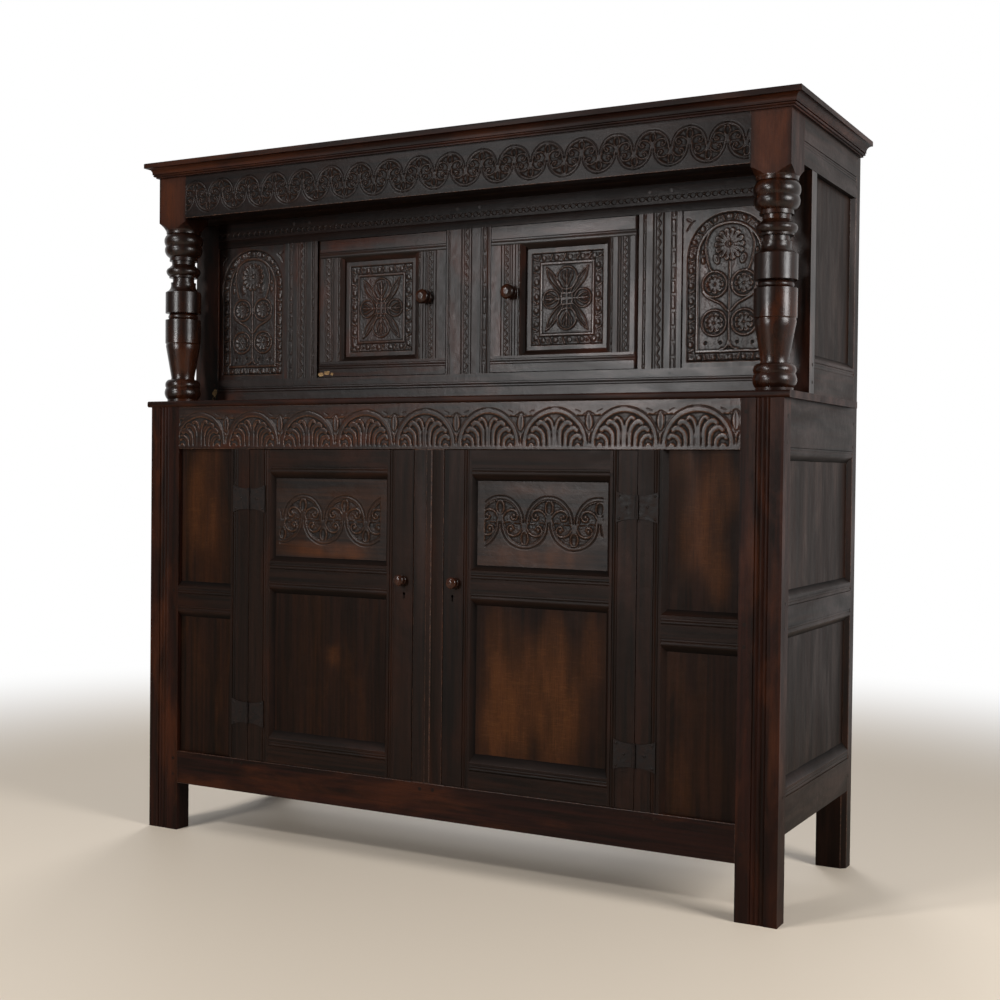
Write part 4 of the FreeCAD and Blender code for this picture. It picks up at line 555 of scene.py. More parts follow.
# %% [markdown]
# ## Carving as height fields
# A carver sinks the ground round a drawn pattern and rounds what is left. The same can be done
# with numbers: a fine grid lies over the board, and each stroke of the pattern lowers or raises
# the grid by how far a point lies from a line or circle. The grid then becomes a closed slab.
# Inside this step lengths are millimetres: x runs to the right, z runs up, 0 is the surface of
# the board and minus is cut away.

# %% Distances
GRID = 1.25  # mm between the grid's points


def smooth(low, high, value):
    share = np.clip((value - low) / (high - low), 0, 1)
    return share * share * (3 - 2 * share)


def ring(x, z, centre, radius):
    return np.abs(np.hypot(x - centre[0], z - centre[1]) - radius)


def oval(x, z, centre, wide, tall, lean=0.0):
    """0 in the middle of an oval and 1 on its edge; lean turns it clockwise in degrees."""
    turn = math.radians(lean)
    dx, dz = x - centre[0], z - centre[1]
    across = dx * math.cos(turn) - dz * math.sin(turn)
    along = dx * math.sin(turn) + dz * math.cos(turn)
    return np.hypot(across / wide, along / tall)


print("halfway up a soft step:", smooth(0, 2, 1))

# %% Lines
def curve(points, steps=5):
    """A smooth line through a few points."""
    points = np.array(points, dtype=float)
    padded = np.vstack([2 * points[0] - points[1], points, 2 * points[-1] - points[-2]])
    made = []
    for a, b, c, d in zip(padded, padded[1:], padded[2:], padded[3:]):
        for t in np.arange(steps) / steps:
            made.append(0.5 * (2 * b + (c - a) * t + (2 * a - 5 * b + 4 * c - d) * t ** 2
                               + (3 * b - a - 3 * c + d) * t ** 3))
    return np.array(made + [points[-1]])


def stroke(x, z, line):
    """Distance from a line of points."""
    nearest = np.full(x.shape, 1e6)
    for (ax, az), (bx, bz) in zip(line, line[1:]):
        dx, dz = bx - ax, bz - az
        share = np.clip(((x - ax) * dx + (z - az) * dz) / max(dx * dx + dz * dz, 1e-9), 0, 1)
        nearest = np.minimum(nearest, np.hypot(x - ax - share * dx, z - az - share * dz))
    return nearest


print("points on a curve through three:", len(curve([(0, 0), (1, 1), (2, 0)])))

# %% Sections of a cut
def rounded(distance, half):
    """Section of a rounded strip: 1 along its middle, 0 at its sides."""
    return np.sqrt(np.clip(1 - (distance / half) ** 2, 0, 1))


def flat_topped(distance, half, slope):
    """Section of a strip with a flat top and sloping sides."""
    return smooth(half + 0.3, half - slope, distance)


def vee(distance, half):
    return np.clip(1 - distance / half, 0, 1)


def raise_to(height, ground, shape, top):
    """Lifts a shape (0 to 1) out of the sunk ground up to a level."""
    return np.maximum(height, ground + (top - ground) * shape)


print("a rounded strip, halfway out:", round(float(rounded(1, 2)), 2))

# %% Unevenness and repeats
CELLS = 64  # the unevenness repeats after this many lumps


def waver(x, z, size, seed):
    """Smooth unevenness from -1 to 1, as left by a hand and a mallet."""
    marks = np.random.default_rng(seed).uniform(-1, 1, (CELLS, CELLS))
    u, v = x / size + 1000.3, z / size + 1000.7
    iu, iv = np.floor(u).astype(int), np.floor(v).astype(int)
    fu, fv = smooth(0, 1, u - iu), smooth(0, 1, v - iv)
    iu, iv, ju, jv = iu % CELLS, iv % CELLS, (iu + 1) % CELLS, (iv + 1) % CELLS
    low = marks[iu, iv] * (1 - fu) + marks[ju, iv] * fu
    return low * (1 - fv) + (marks[iu, jv] * (1 - fu) + marks[ju, jv] * fu) * fv


def folded(value, centre, period):
    """Coordinate from the nearest of many centres one period apart."""
    return (value - centre + period / 2) % period - period / 2


print("170 folded into a period of 164:", folded(170, 0, 164))

# %% Measures of a whole field
def blurred(field, reach):
    """Mean over a square of cells, by running sums."""
    for axis in (0, 1):
        padding = [(reach + 1, reach) if side == axis else (0, 0) for side in (0, 1)]
        total = np.cumsum(np.pad(field, padding, mode="edge"), axis=axis)
        ahead, behind = [slice(None)] * 2, [slice(None)] * 2
        ahead[axis], behind[axis] = slice(2 * reach + 1, None), slice(0, -2 * reach - 1)
        field = (total[tuple(ahead)] - total[tuple(behind)]) / (2 * reach + 1)
    return field


def deepest(carve, low, high, *more):
    """How deep a pattern cuts between two corners, in mm."""
    x, z = np.meshgrid(np.arange(low[0], high[0], 2.0), np.arange(low[1], high[1], 2.0), indexing="ij")
    return round(float(carve(x, z, *more).min()), 1)


# %% Slab from a height field
CARVED_SHARP = math.radians(60)  # a slab's rim is sharp, its carving is smooth


def carved_slab(name, low, high, carve, node_names, body, slot, material, axis=0, facing="front",
                board="", glow=None, steps=(GRID, GRID)):
    """Closed slab between two corners (metres) whose outer face is cut by carve(x, z) in mm.

    It faces the front, or the left or right side, where x then runs from front to back.
    Hollows are darkened, by dark wax in the cuts and by painted shade, and what stands proud is worn lighter."""
    run, depth = (0, 1) if facing == "front" else (1, 0)
    columns, rows = (max(2, round((high[side] - low[side]) / MM / step) + 1)
                     for side, step in ((run, steps[0]), (2, steps[1])))
    us = np.linspace(low[run], high[run], columns)
    vs = np.linspace(low[2], high[2], rows)
    x, z = np.meshgrid(us / MM, vs / MM, indexing="ij")
    height = carve(x, z)
    hollow = blurred(height, 3) - height
    wide_hollow = blurred(height, 9) - height
    wear = smooth(0.15, 0.9, -hollow)
    # Darkening of the hollows: dark wax in the cuts, and painted shade where the carving would shade itself.
    grime = np.clip(smooth(0.1, 1.3, hollow) * 0.75 + smooth(0.6, 2.2, wide_hollow) * 0.45, 0, 1)
    inward = -1 if facing == "right" else 1
    outer, inner = (low[depth], high[depth]) if inward > 0 else (high[depth], low[depth])
    front = np.empty((columns, rows, 3))
    front[..., run] = us[:, None]
    front[..., 2] = vs[None, :]
    front[..., depth] = outer - height * MM * inward
    back = np.empty((columns, 2, 3))
    back[..., run] = us[:, None]
    back[..., 2] = (vs[0], vs[-1])
    back[..., depth] = inner
    points = np.vstack([front.reshape(-1, 3), back.reshape(-1, 3)])
    number = np.arange(columns * rows).reshape(columns, rows)
    behind = columns * rows + np.arange(columns * 2).reshape(columns, 2)
    quads = np.vstack([np.stack(corners, -1).reshape(-1, 4) for corners in (
        (number[:-1, :-1], number[1:, :-1], number[1:, 1:], number[:-1, 1:]),
        (behind[:-1, 1], behind[1:, 1], behind[1:, 0], behind[:-1, 0]),
        (number[:-1, 0], behind[:-1, 0], behind[1:, 0], number[1:, 0]),
        (number[:-1, -1], number[1:, -1], behind[1:, 1], behind[:-1, 1]))])
    ends = [np.array([*number[0], behind[0, 1], behind[0, 0]]),
            np.array([*number[-1, ::-1], behind[-1, 0], behind[-1, 1]])]
    if facing == "left":
        quads, ends = quads[:, ::-1], [end[::-1] for end in ends]
    corners = np.concatenate([quads.ravel(), *ends])
    sizes = np.array([4] * len(quads) + [len(end) for end in ends])
    mesh = bpy.data.meshes.new(name)
    mesh.vertices.add(len(points))
    mesh.vertices.foreach_set("co", points.ravel())
    mesh.loops.add(len(corners))
    mesh.loops.foreach_set("vertex_index", corners.astype(np.int32))
    mesh.polygons.add(len(sizes))
    mesh.polygons.foreach_set("loop_start", np.concatenate([[0], np.cumsum(sizes)[:-1]]).astype(np.int32))
    mesh.update(calc_edges=True)
    mesh.shade_smooth()
    mesh.set_sharp_from_angle(angle=CARVED_SHARP)
    marks = {"wear": wear, "grime": grime, "glow": glow(x, z) if glow else np.zeros_like(height)}
    unmarked = np.zeros(columns * 2)
    start, tone = grain_start(board or name)
    set_grain(mesh, points[:, ALONG[axis]] + start, tone=tone,
              **{label: np.concatenate([field.ravel(), unmarked]) for label, field in marks.items()})
    return place_piece(name, mesh, [material], body, node_names, slot)


# %% [markdown]
# ## Scroll band
# The frieze and the doors' upper panels have the same running pattern: half-round bands that
# stand up and hang down in turn, so that the feet of two neighbours make the stem of the next.
# In each arch a hollow pod stands on the stem between two volutes. One unit is drawn at the
# doors' size, 60.5 mm from stem to stem, and folded coordinates repeat it along the board.

# %% Scroll band
UNIT = 60.5
GROUND = -2.6
VOLUTE = curve([(3, 2), (7, 14), (15, 24), (28, 28.5), (39, 25), (43, 16), (39, 8), (31, 7.5), (28, 13)])
TIE = [(14, 0), (24, 0)]


def scroll_half(x, z, wobble):
    """One arch of the band, with its axis at x = 0 and its centre line at z = 0."""
    side = np.abs(x)
    reach = np.hypot(x, z + wobble)
    height = GROUND * smooth(49.4, 47.4, reach) * smooth(-1.5, 0.5, z)
    stem = smooth(2.0, 0.0, side - np.interp(z, [-2, 4, 16, 24], [12.5, 8.5, 5.0, 3.5])) * smooth(26, 22, z)
    height = raise_to(height, GROUND, stem, -0.1)
    height = raise_to(height, GROUND, flat_topped(stroke(side, z, VOLUTE), 3.4, 2.2), -0.2)
    height = raise_to(height, GROUND, rounded(oval(side, z, (34, 15.8), 1, 1), 5.2), -0.3)
    height = raise_to(height, GROUND, flat_topped(stroke(side, z, TIE), 2.8, 1.8), -0.4)
    pod = oval(x, z, (0, 34), 7.6, 12.6)
    height = raise_to(height, GROUND, flat_topped(np.abs(pod - 1.2) * 7.6, 2.6, 1.6), 0.0)
    height = np.where(pod < 1, -2.85 * np.sqrt(np.clip(1 - pod ** 2, 0, 1)), height)
    cut = vee(np.abs(reach - 58.2), 2.0) * smooth(-4, 1, z)
    cut = cut + 0.9 * vee(np.abs(reach - 50.6), 1.3) * smooth(-2, 2, z)
    return height - 1.7 * cut


def scroll_band(x, z, first, centre, scale, left, right):
    """Runs the pattern between two ends; first is the axis of an arch that stands up."""
    shake = waver(x, z, 23, 5) * 0.8
    u = (x - first + shake) / scale
    v = (z - centre + waver(x, z, 27, 6) * 0.7) / scale
    shake = waver(x, z, 40, 7) * 0.8
    above = scroll_half(folded(u, 0, UNIT * 2), v, shake)
    below = scroll_half(folded(u, UNIT, UNIT * 2), -v, shake)
    height = np.minimum(np.minimum(above, below), 0)
    stipple = waver(x, z, 2.6, 8) * 0.35 * smooth(-1.6, -2.4, height)
    between = smooth(left, left + 1.5, x) * smooth(right, right - 1.5, x)
    return np.maximum(height * scale ** 0.3 + stipple, -2.9) * between


print("deepest cut of the scroll band, mm:",
      deepest(scroll_band, (0, -60), (242, 60), 60, 0, 1.0, 0, 242))

# %% [markdown]
# ## Lunettes
# The rail above the doors has nine half-round arches, 164 mm apart. Each is filled with a
# palm: four broad fronds a side that rise together and curl outwards, each lower than the
# last, with small sunk triangles between their tips and the arch. Spear leaves stand between
# the arches. A frond is a flat-topped strip along a curved line.

# %% Lunettes
LUNETTE_PITCH = 164
LUNETTE_FIRST = 315
FRONDS = [(curve([(2.6, -9), (2.8, 26), (5, 42), (10, 52.5), (16.5, 56.5), (21.5, 54)]), 5.0),
          (curve([(12.6, -9), (13, 24), (17, 36.5), (25, 45), (34, 48), (39.5, 44.5)]), 6.3),
          (curve([(25.8, -9), (26.5, 16), (30.5, 26), (38.5, 32.5), (47.5, 34.5), (53, 30.5)]), 6.3),
          (curve([(39.2, -9), (40, 6), (44, 13.5), (51, 18), (58, 18.5), (61.5, 14.5)]), 5.9),
          (curve([(52, -9), (53, -1.5), (58, -0.5), (62, -8)]), 4.2)]
HOOK = curve([(57, 63), (66, 61), (73, 66)])
DASH = [(52, 74.5), (62, 70)]


def lunettes(x, z, foot):
    """Arches whose centres stand on the level foot."""
    x = x + waver(x, z, 37, 11) * 1.1
    v = z - foot + waver(x, z, 31, 12) * 0.9
    u = folded(x, LUNETTE_FIRST, LUNETTE_PITCH)
    side = np.abs(u)
    reach = np.hypot(u, v)
    ground = -2.7
    height = ground * smooth(68.0, 66.2, reach) * smooth(-8, 3, v)
    for line, half in FRONDS:
        away = stroke(side, v, line)
        strip = flat_topped(away, half, 1.5)
        height = raise_to(height, ground * smooth(-8, 3, v), strip, -0.1 - 0.35 * (away / half) ** 2)
    height = np.where(reach < 68, height, 0)
    fade = smooth(-2, 6, v)
    height = height - 1.8 * vee(np.abs(reach - 79.6), 2.0) * fade * (0.45 + 0.55 * smooth(3, 14, side))
    height = height - 0.7 * vee(np.abs(reach - 67.8), 1.5) * fade
    leaf = oval(side, v, (82, 48), 9.5, 21)
    spandrel = smooth(80.5, 82, reach) * smooth(62.5, 61, v) * smooth(0.98, 1.08, leaf) * smooth(28, 36, v)
    height = np.where(reach > 80, np.minimum(height, -2.2 * spandrel), height)
    height = height - 0.7 * vee(np.abs(side - 82), 1.3) * smooth(0.9, 0.6, leaf)
    height = height - 1.5 * vee(np.abs(leaf - 1) * 8, 1.6) * smooth(1, 4, reach - 79) * smooth(74, 68, v)
    height = height - 1.3 * vee(stroke(side, v, HOOK), 1.6) - 0.9 * vee(stroke(side, v, DASH), 1.5)
    stipple = waver(x, z, 3.0, 13) * 0.22 * smooth(-1.6, -2.4, height)
    return np.maximum(height + stipple, -2.9)


print("deepest cut of the lunettes, mm:", deepest(lunettes, (233, 970), (561, 1060), 970))

# %% [markdown]
# ## Arcades
# Each end panel of the set-back cupboard has a round arch with a chip-carved border. Inside,
# a stem carries four roundels with eight-petalled flowers and one large flower at the head.
# The middle of the pattern is x = 0, and z is the real level above the floor.

# %% Arcades
ARCH_SPRING = 1379


def arch(x, z, radius, foot):
    """Distance outside (plus) or inside (minus) a round-headed opening."""
    above = np.hypot(x, z - ARCH_SPRING) - radius
    below = np.maximum(np.abs(x) - radius, foot - z)
    return np.where(z > ARCH_SPRING, above, below)


# %% Flower
def flower(x, z, centre, radius, petals, turn=0.0):
    """Petals like small dishes round a button: 0 at the ground, 1 at the rims."""
    reach = np.hypot(x - centre[0], z - centre[1])
    around = np.arctan2(z - centre[1], x - centre[0]) + math.radians(turn)
    lobe = np.abs(np.cos(around * petals / 2))
    edge = radius * (0.84 + 0.16 * lobe)
    share = np.clip(reach / edge, 0, 1)
    rim = smooth(0.55, 0.95, share) + 0.55 * smooth(0.75, 0.25, lobe)
    petal = (0.35 + 0.65 * np.clip(rim, 0, 1)) * smooth(0.10, 0.38, lobe) * smooth(0, 1.6, edge - reach)
    button = rounded(reach, radius * 0.14) * 0.9
    return np.maximum(petal * smooth(0.16, 0.26, share), button)


print("arches spring at", ARCH_SPRING, "mm")

# %% Gouged border
def gouged_border(run, across, half):
    """Dark border of round lumps, crescent cuts and slanting bars, one unit every 32 mm."""
    u = folded(run + waver(run, across, 60, 15) * 3, 0, 32)
    base = -1.9 + 0.3 * waver(run, across, 4, 16)
    shape = rounded(oval(u, across, (3, half * 0.12), 6.5, half * 0.72), 1)
    bar = flat_topped(stroke(u, across, [(-12, half * 0.6), (-7, -half * 0.7)]), 2.6, 1.8)
    ticks = flat_topped(np.minimum(np.abs(u - 13), np.abs(u + 15.4)), 1.5, 1.2)
    ticks = ticks * (np.abs(across) < half * 0.55)
    height = base + 1.8 * np.max([shape, bar * 0.9, ticks * 0.55], axis=0)
    crescent = np.abs(oval(u, across, (4, half * 0.12), 9.5, half * 0.95) - 1) * 8
    return height - 0.9 * vee(crescent, 2.2) * smooth(0, -3, u)


print("deepest cut of the border, mm:", deepest(gouged_border, (0, -9), (96, 9), 9))

# %% Whole arcade
TEARDROP = curve([(60, 1306), (52, 1295), (36, 1286), (20, 1278), (4, 1262)])
LOOP_FOOT = curve([(52.5, 1384), (49, 1368), (43.5, 1353), (38, 1348)])
STEM_FOOT = curve([(1.5, 1196), (4.5, 1187), (12, 1181), (20, 1180)])
SPRAY = curve([(96, 1440), (88, 1452), (80, 1459)])


def arcade(x, z):
    x = x + waver(x, z, 41, 21) * 0.7
    z = z + waver(x, z, 33, 22) * 0.7
    side = np.abs(x)
    outer, middle, inner = arch(x, z, 94, 1155), arch(x, z, 76.5, 1172), arch(x, z, 70, 1178)
    ground = -3.2
    run = np.where(z > ARCH_SPRING, np.arctan2(z - ARCH_SPRING, side + 1e-6) * 85, z - ARCH_SPRING)
    run = np.where((z < 1172) & (side < 80), side, run)
    border = (outer < 0) & (middle > 0)
    across = (middle + outer) / 2
    height = np.where(border, gouged_border(run, across, 8.7), 0)
    height = height - 1.6 * vee(np.abs(outer), 2.2) - 1.1 * vee(np.abs(middle), 1.8)
    height = np.where(inner < 0, ground * smooth(0.4, -1.4, inner), height)
    lines = [np.abs(x) + 0.25 * np.maximum(1190 - z, 0) + 99 * (z > 1370),
             ring(side, z, (0, 1400), 55) + 99 * (z < 1382), stroke(side, z, LOOP_FOOT),
             ring(side, z, (33, 1320), 27.5), ring(side, z, (34, 1237), 27.5),
             stroke(side, z, TEARDROP), stroke(side, z, STEM_FOOT)]
    for line in lines:
        height = raise_to(height, ground, rounded(line, 2.9) * (inner < 1), -0.25)
    shapes = [flower(side, z, (33, 1320), 22, 8), flower(side, z, (34, 1237), 22, 8, 22.5),
              flower(x, z, (0, 1405), 36, 14)]
    shapes += [rounded(oval(side, z, centre, *size), 1) for centre, size in (
        ((30, 1374), (8, 12.5, 20)), ((60, 1372), (5.5, 8, 0)), ((61, 1390), (4, 6, 0)))]
    for shape in shapes:
        height = raise_to(height, ground, shape * (inner < -2), -0.5)
    height = height - 0.9 * vee(np.abs(oval(side, z, (30, 1374), 8, 12.5, 20) * 8 - 4), 1.2) * (inner < -2)
    for spot in (19, 53):
        height = height - 2.0 * smooth(4.2, 2.6, np.hypot(side - spot, z - 1194))
    height = height - 1.5 * vee(stroke(side, z, SPRAY), 3.0) * (outer > 2)
    height = height - 1.2 * rounded(oval(side, z, (92, 1462), 3.2, 8, 60), 1) * (outer > 2)
    return height + waver(x, z, 2.8, 23) * 0.3 * smooth(-2.6, -3.1, height)


print("deepest cut of an arcade, mm:", deepest(arcade, (-94, 1155), (94, 1475)))

# %% [markdown]
# ## Upper door panels
# A sunk border of gouge cuts and a thin fillet frame a punched field. A cross of four looped
# palmettes grows from a hub with four square pits, and four lens-shaped leaves reach into the
# corners between them.

# %% Upper door panels
# Lines of one half of a palmette whose loop has radius 1, with half widths and edges in mm.
PALMETTE = [(curve([(-1.25, 0), (-0.8, 0.0), (0.62, 0.0)]), 2.6, 1.7),
            (curve([(-0.75, 0.05), (-0.3, 0.3), (0.1, 0.52), (0.45, 0.5)]), 2.2, 1.6),
            (curve([(-0.15, 0.05), (0.2, 0.2), (0.55, 0.28)]), 1.5, 1.2)]
LEAF_VEIN = curve([(13, 14), (27, 33), (42, 56), (52, 70)])
LEAF_SIDES = [curve([(10, 8), (26, 22), (44, 42), (50, 58), (52, 71)]),
              curve([(8, 12), (16, 30), (30, 50), (42, 64), (53, 72)])]


def palmette(x, z, centre, radius, turn):
    """Loop that opens towards the middle, with a tulip in it; turn is its direction in degrees."""
    angle = math.radians(turn)
    dx, dz = x - centre[0], z - centre[1]
    along = dx * math.cos(angle) + dz * math.sin(angle)
    across = np.abs(-dx * math.sin(angle) + dz * math.cos(angle))
    along, across = along / radius, across / radius
    strips = [flat_topped(ring(along, across, (0, 0), 0.92) * radius, 2.5, 1.6)]
    strips += [flat_topped(stroke(along, across, line) * radius, half, edge) for line, half, edge in PALMETTE]
    return np.max(strips, axis=0)


# %% Cross flower
def door_flower(x, z):
    """The cross flower, from its own middle: (shape from 0 to 1, pits to cut in it)."""
    x = x + waver(x, z, 29, 31) * 0.8
    z = z + waver(x, z, 27, 32) * 0.8
    sx, sz = np.abs(x), np.abs(z)
    shapes = [palmette(x, z, (0, 47), 28, 90), palmette(x, z, (0, -46), 26, -90),
              palmette(x, z, (40, 0), 22.5, 0), palmette(x, z, (-40, 0), 22.5, 180)]
    shapes += [flat_topped(stroke(sx, sz, line), 2.0, 1.4) for line in LEAF_SIDES]
    shapes.append(flat_topped(stroke(sx, sz, LEAF_VEIN), 1.3, 1.0) * 0.6)
    shapes.append(smooth(15.5, 14, np.maximum(sx, sz)))
    pits = smooth(4.2, 3.2, np.maximum(np.abs(sx - 7), np.abs(sz - 7)))
    return np.max(shapes, axis=0), pits


print("lines of a palmette:", len(PALMETTE) + 1)

# %% Whole door panel
def door_panel(x, z, box_low, box_high, middle):
    """Border and fillet between the box's corners, the flower on its middle."""
    gap = np.minimum.reduce([x - box_low[0], box_high[0] - x, z - box_low[1], box_high[1] - z])
    wide = np.minimum(x - box_low[0], box_high[0] - x) < np.minimum(z - box_low[1], box_high[1] - z)
    run = np.where(wide, z, x)
    height = np.where((gap > 0) & (gap < 19), gouged_border(run, gap - 9.5, 9.0), 0)
    height = height - 1.4 * vee(np.abs(gap), 1.8) - 1.2 * vee(np.abs(gap - 19.4), 1.8)
    ground = -2.8
    height = np.where(gap > 25, ground * smooth(25, 26.6, gap), height)
    shape, pits = door_flower(x - middle[0], z - middle[1])
    height = raise_to(height, ground, shape * smooth(25.6, 27, gap), 0.0)
    height = height - 2.2 * pits
    return height + waver(x, z, 2.7, 33) * 0.32 * smooth(-2.0, -2.7, height)


field = (0, 0), (180, 210), (90, 105)
print("deepest cut of a door panel, mm:", deepest(door_panel, *field[:2], *field))

# %% [markdown]
# ## Worked stiles and muntins
# The uprights of the set-back cupboard carry grooves from a scratch stock, which runs the
# length of a board with a filed blade, and between them zigzags and long chips cut by hand.
# A section gives the grooves as (distance across, depth) and runs unchanged along the board.

# %% Worked stiles and muntins
def section(across, points):
    spots, levels = zip(*points)
    return np.interp(across, spots, levels)


def zigzag(run, across, half, pitch, depth):
    """Raised zigzag that stands in its own channel; across is measured from its middle."""
    wave = (np.abs(folded(run + 2 * waver(run, across, 35, 41), 0, pitch)) / pitch * 4 - 1) * (half - 1.4)
    return depth * vee(np.abs(across - wave) * 0.8, 2.4) * (np.abs(across) < half)


def long_chips(run, across, half, pitch, depth):
    """Raised pads in a channel with dark notches between them."""
    u = folded(run + 5 * waver(run, across * 0, 70, 42), 0, pitch)
    pad = smooth(half + 0.2, half - 1.4, np.abs(across + 0.02 * u))
    pad = pad * smooth(pitch * 0.42, pitch * 0.36, np.abs(u))
    return depth * pad * (0.75 + 0.25 * waver(run, across, 9, 43))


print("height of a long pad, mm:", long_chips(np.zeros(1), np.zeros(1), 2.4, 36, 1.6).round(1))

# %% Sections of the uprights
LOCK_STILE = [(0, 0), (26.3, 0), (27.3, -1.4), (28.8, 0), (34.6, 0), (35.4, -1.4), (47, -1.4), (47.8, 0),
              (50, 0), (50.9, -1.2), (52, 0), (55, 0), (56, -1.4), (57, 0), (63, 0), (63.9, -1.2),
              (64.9, 0), (70.3, 0), (71.3, -2), (76, -2), (77.2, -0.6), (88.5, -6)]
HINGE_STILE = [(0, -6), (10, -0.6), (10.8, -2), (15.2, -2), (16.2, 0), (28.4, 0), (29.3, -1.4), (31, -1.4),
               (32, 0), (34, 0), (35, -1.4), (36.5, -1.4), (37.3, 0), (40.2, 0), (41, -1.4), (52, -1.4),
               (52.8, 0), (54, -1.3), (55.5, -0.1), (57, -1.3), (58, 0), (77.5, 0)]
CENTRE_MUNTIN = [(-60, 0), (-55.5, 0), (-54.5, -1.8), (-50.5, -1.8), (-49.5, 0), (-20.5, 0), (-19.3, -1.7),
                 (-17.3, -1.7), (-16.2, 0), (-12, 0), (-11, -1.4), (1, -1.4), (2, 0), (7, 0), (8.2, -1.5),
                 (9.5, 0), (32.6, 0), (33.6, -0.8), (34.6, 0), (38, 0), (39, -1.7), (49, -1.7),
                 (51, -0.2), (53, -1.7), (55.5, -1.7), (56.5, 0), (60, 0)]
WIDE_MUNTIN = [(0, 0), (10, 0), (11, -1.8), (16, -1.8), (17, 0), (33, 0), (34, -1.7), (36, -1.7), (37, -0.3),
               (40, -0.3), (41, -1.5), (52.5, -1.5), (56, -1.7), (57, -0.2), (58.5, -1.7), (60, -1.7),
               (61, 0), (76, 0), (77, -1.8), (88, -1.8), (89.5, -0.4), (101, -0.4)]
print("width of a lock stile, mm:", LOCK_STILE[-1][0])

# %% Uprights
def lock_stile(u, z):
    height = section(u, LOCK_STILE) + zigzag(z, u - 41.2, 5.8, 17, 1.5)
    return height + long_chips(z, u - 73.6, 2.4, 36, 1.6) + 0.12 * waver(u, z, 12, 44)


def hinge_stile(u, z):
    height = section(u, HINGE_STILE) + zigzag(z, u - 46.5, 5.5, 17, 1.5)
    height = height + long_chips(z + 11, u - 13, 2.2, 36, 1.6) + 0.12 * waver(u, z, 12, 45)
    edge = np.clip(u - 68.5, 0, 9)
    return height - (9 - np.sqrt(81 - edge ** 2))


def centre_muntin(u, z):
    height = section(u, CENTRE_MUNTIN) + zigzag(z, u + 5, 6, 23, 1.4)
    height = height + long_chips(z + 4, u + 52.5, 2.0, 44, 1.2)
    return height + long_chips(z, u - 44, 3.2, 37, 1.7) + 0.15 * waver(u, z, 14, 46)


def wide_muntin(u, z):
    height = section(u, WIDE_MUNTIN) + zigzag(z, u - 47.5, 5, 21, 1.6)
    height = height + long_chips(z, u - 13.5, 2.5, 27, 1.6)
    return height + long_chips(z + 8, u - 82, 4.2, 34, 1.6) + 0.12 * waver(u, z, 12, 47)


def chain(run, across):
    """Dark lozenges with an oval bead in each gap, along the rail over the doors."""
    lozenge = np.abs(folded(run, 0, 17)) / 7.5 + np.abs(across) / 6
    bead = rounded(oval(folded(run, 8.5, 17), across, (0, 0), 4.2, 4.4), 1)
    return -1.4 * smooth(1.15, 0.85, lozenge) - 0.5 + 0.5 * bead - 0.4 * waver(run, across, 30, 48) ** 2


print("deepest cut of a wide muntin, mm:", deepest(wide_muntin, (0, 1180), (101, 1437)))

# %% [markdown]
# ## Carved rails
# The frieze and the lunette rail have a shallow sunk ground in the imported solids. A carved
# slab fills it: its plain parts stand a sixth of a millimetre proud, so that no two faces
# share a plane, and its edge laps over the edge of the recess.

# %% Carved rails
PROUD = 0.16 * MM
LAP = 1.5 * MM
SUNK = 3 * MM           # depth of the recess in the rail
RECESS_MARGIN = 7 * MM  # from the rail's visible edges to the recess
SHY = 0.2 * MM          # a slab stops this short of the wood beside it
EASE = (0.4, 2.5)       # the carving runs out between these distances (mm) from a slab's edge


def node_box(node):
    return extent(mesh_of(node)[0])


def edged(carve, low, high):
    """Lets the carving run out to the plain surface at the slab's edge."""
    def carved(x, z):
        gap = np.minimum.reduce([x - low[0] / MM, high[0] / MM - x, z - low[2] / MM, high[2] / MM - z])
        return carve(x, z) * smooth(*EASE, gap)
    return carved


def rail_carving(name, node, face, ends, low_edge, high_edge, carve, material):
    low = (-ends, face - PROUD, low_edge + RECESS_MARGIN - LAP)
    high = (ends, face + SUNK * 2, high_edge - RECESS_MARGIN + LAP)
    carved_slab(name, low, high, edged(carve, low, high), [], body_of(node), slot_of(node),
                material, board=node + " 0", steps=(1.4, 1.3))


BLOCK_INNER = 740 * MM - SHY
stile_inner = node_box("front_stile_right")[0][0] - SHY
frieze_box, lunette_box = node_box("frieze_rail"), node_box("lunette_rail")
rail_carving("carved_frieze", "frieze_rail", FRIEZE, BLOCK_INNER, frieze_box[0][2], node_box("cornice")[0][2],
             lambda x, z: scroll_band(x, z, 443, 1590, 0.68, -739, 738), SMOKED_OAK_AND_SHADE)
rail_carving("carved_lunettes", "lunette_rail", FRONT, stile_inner, lunette_box[0][2], lunette_box[1][2],
             lambda x, z: lunettes(x, z, 970), LUNETTE_OAK_AND_SHEEN)
print("rails carved")

# %% [markdown]
# ## Riven panels
# Panels were split from the log and planed thin, so they are never quite flat. They fill
# their grooves and glow orange in the middle, where three centuries of rubbing have thinned
# the dark wax; each glow is an oval with a place, a size and a strength. The strengths are in
# part painted light: stronger on the right and on the upper panels, faint on the left.

# %% Riven panels
GROOVE_PLAY = 1.5 * MM


def riven(x, z):
    return 0.5 * waver(x, z / 5, 46, 51) + 0.12 * waver(x, z / 8, 9, 52)


def glowing(*spots):
    """Spots are (x, z, half width, half height, strength) in millimetres."""
    def glow(x, z):
        total = 0
        for sx, sz, wide, tall, strength in spots:
            reach = (((x - sx) / wide) ** 4 + ((z - sz) / tall) ** 4) ** 0.25
            total = total + strength * smooth(1.1, 0.3, reach + 0.3 * waver(x, z / 2, 47, 54))
        return np.clip(total * (0.8 + 0.35 * waver(x, z / 5, 17, 53)), 0, 1)
    return glow


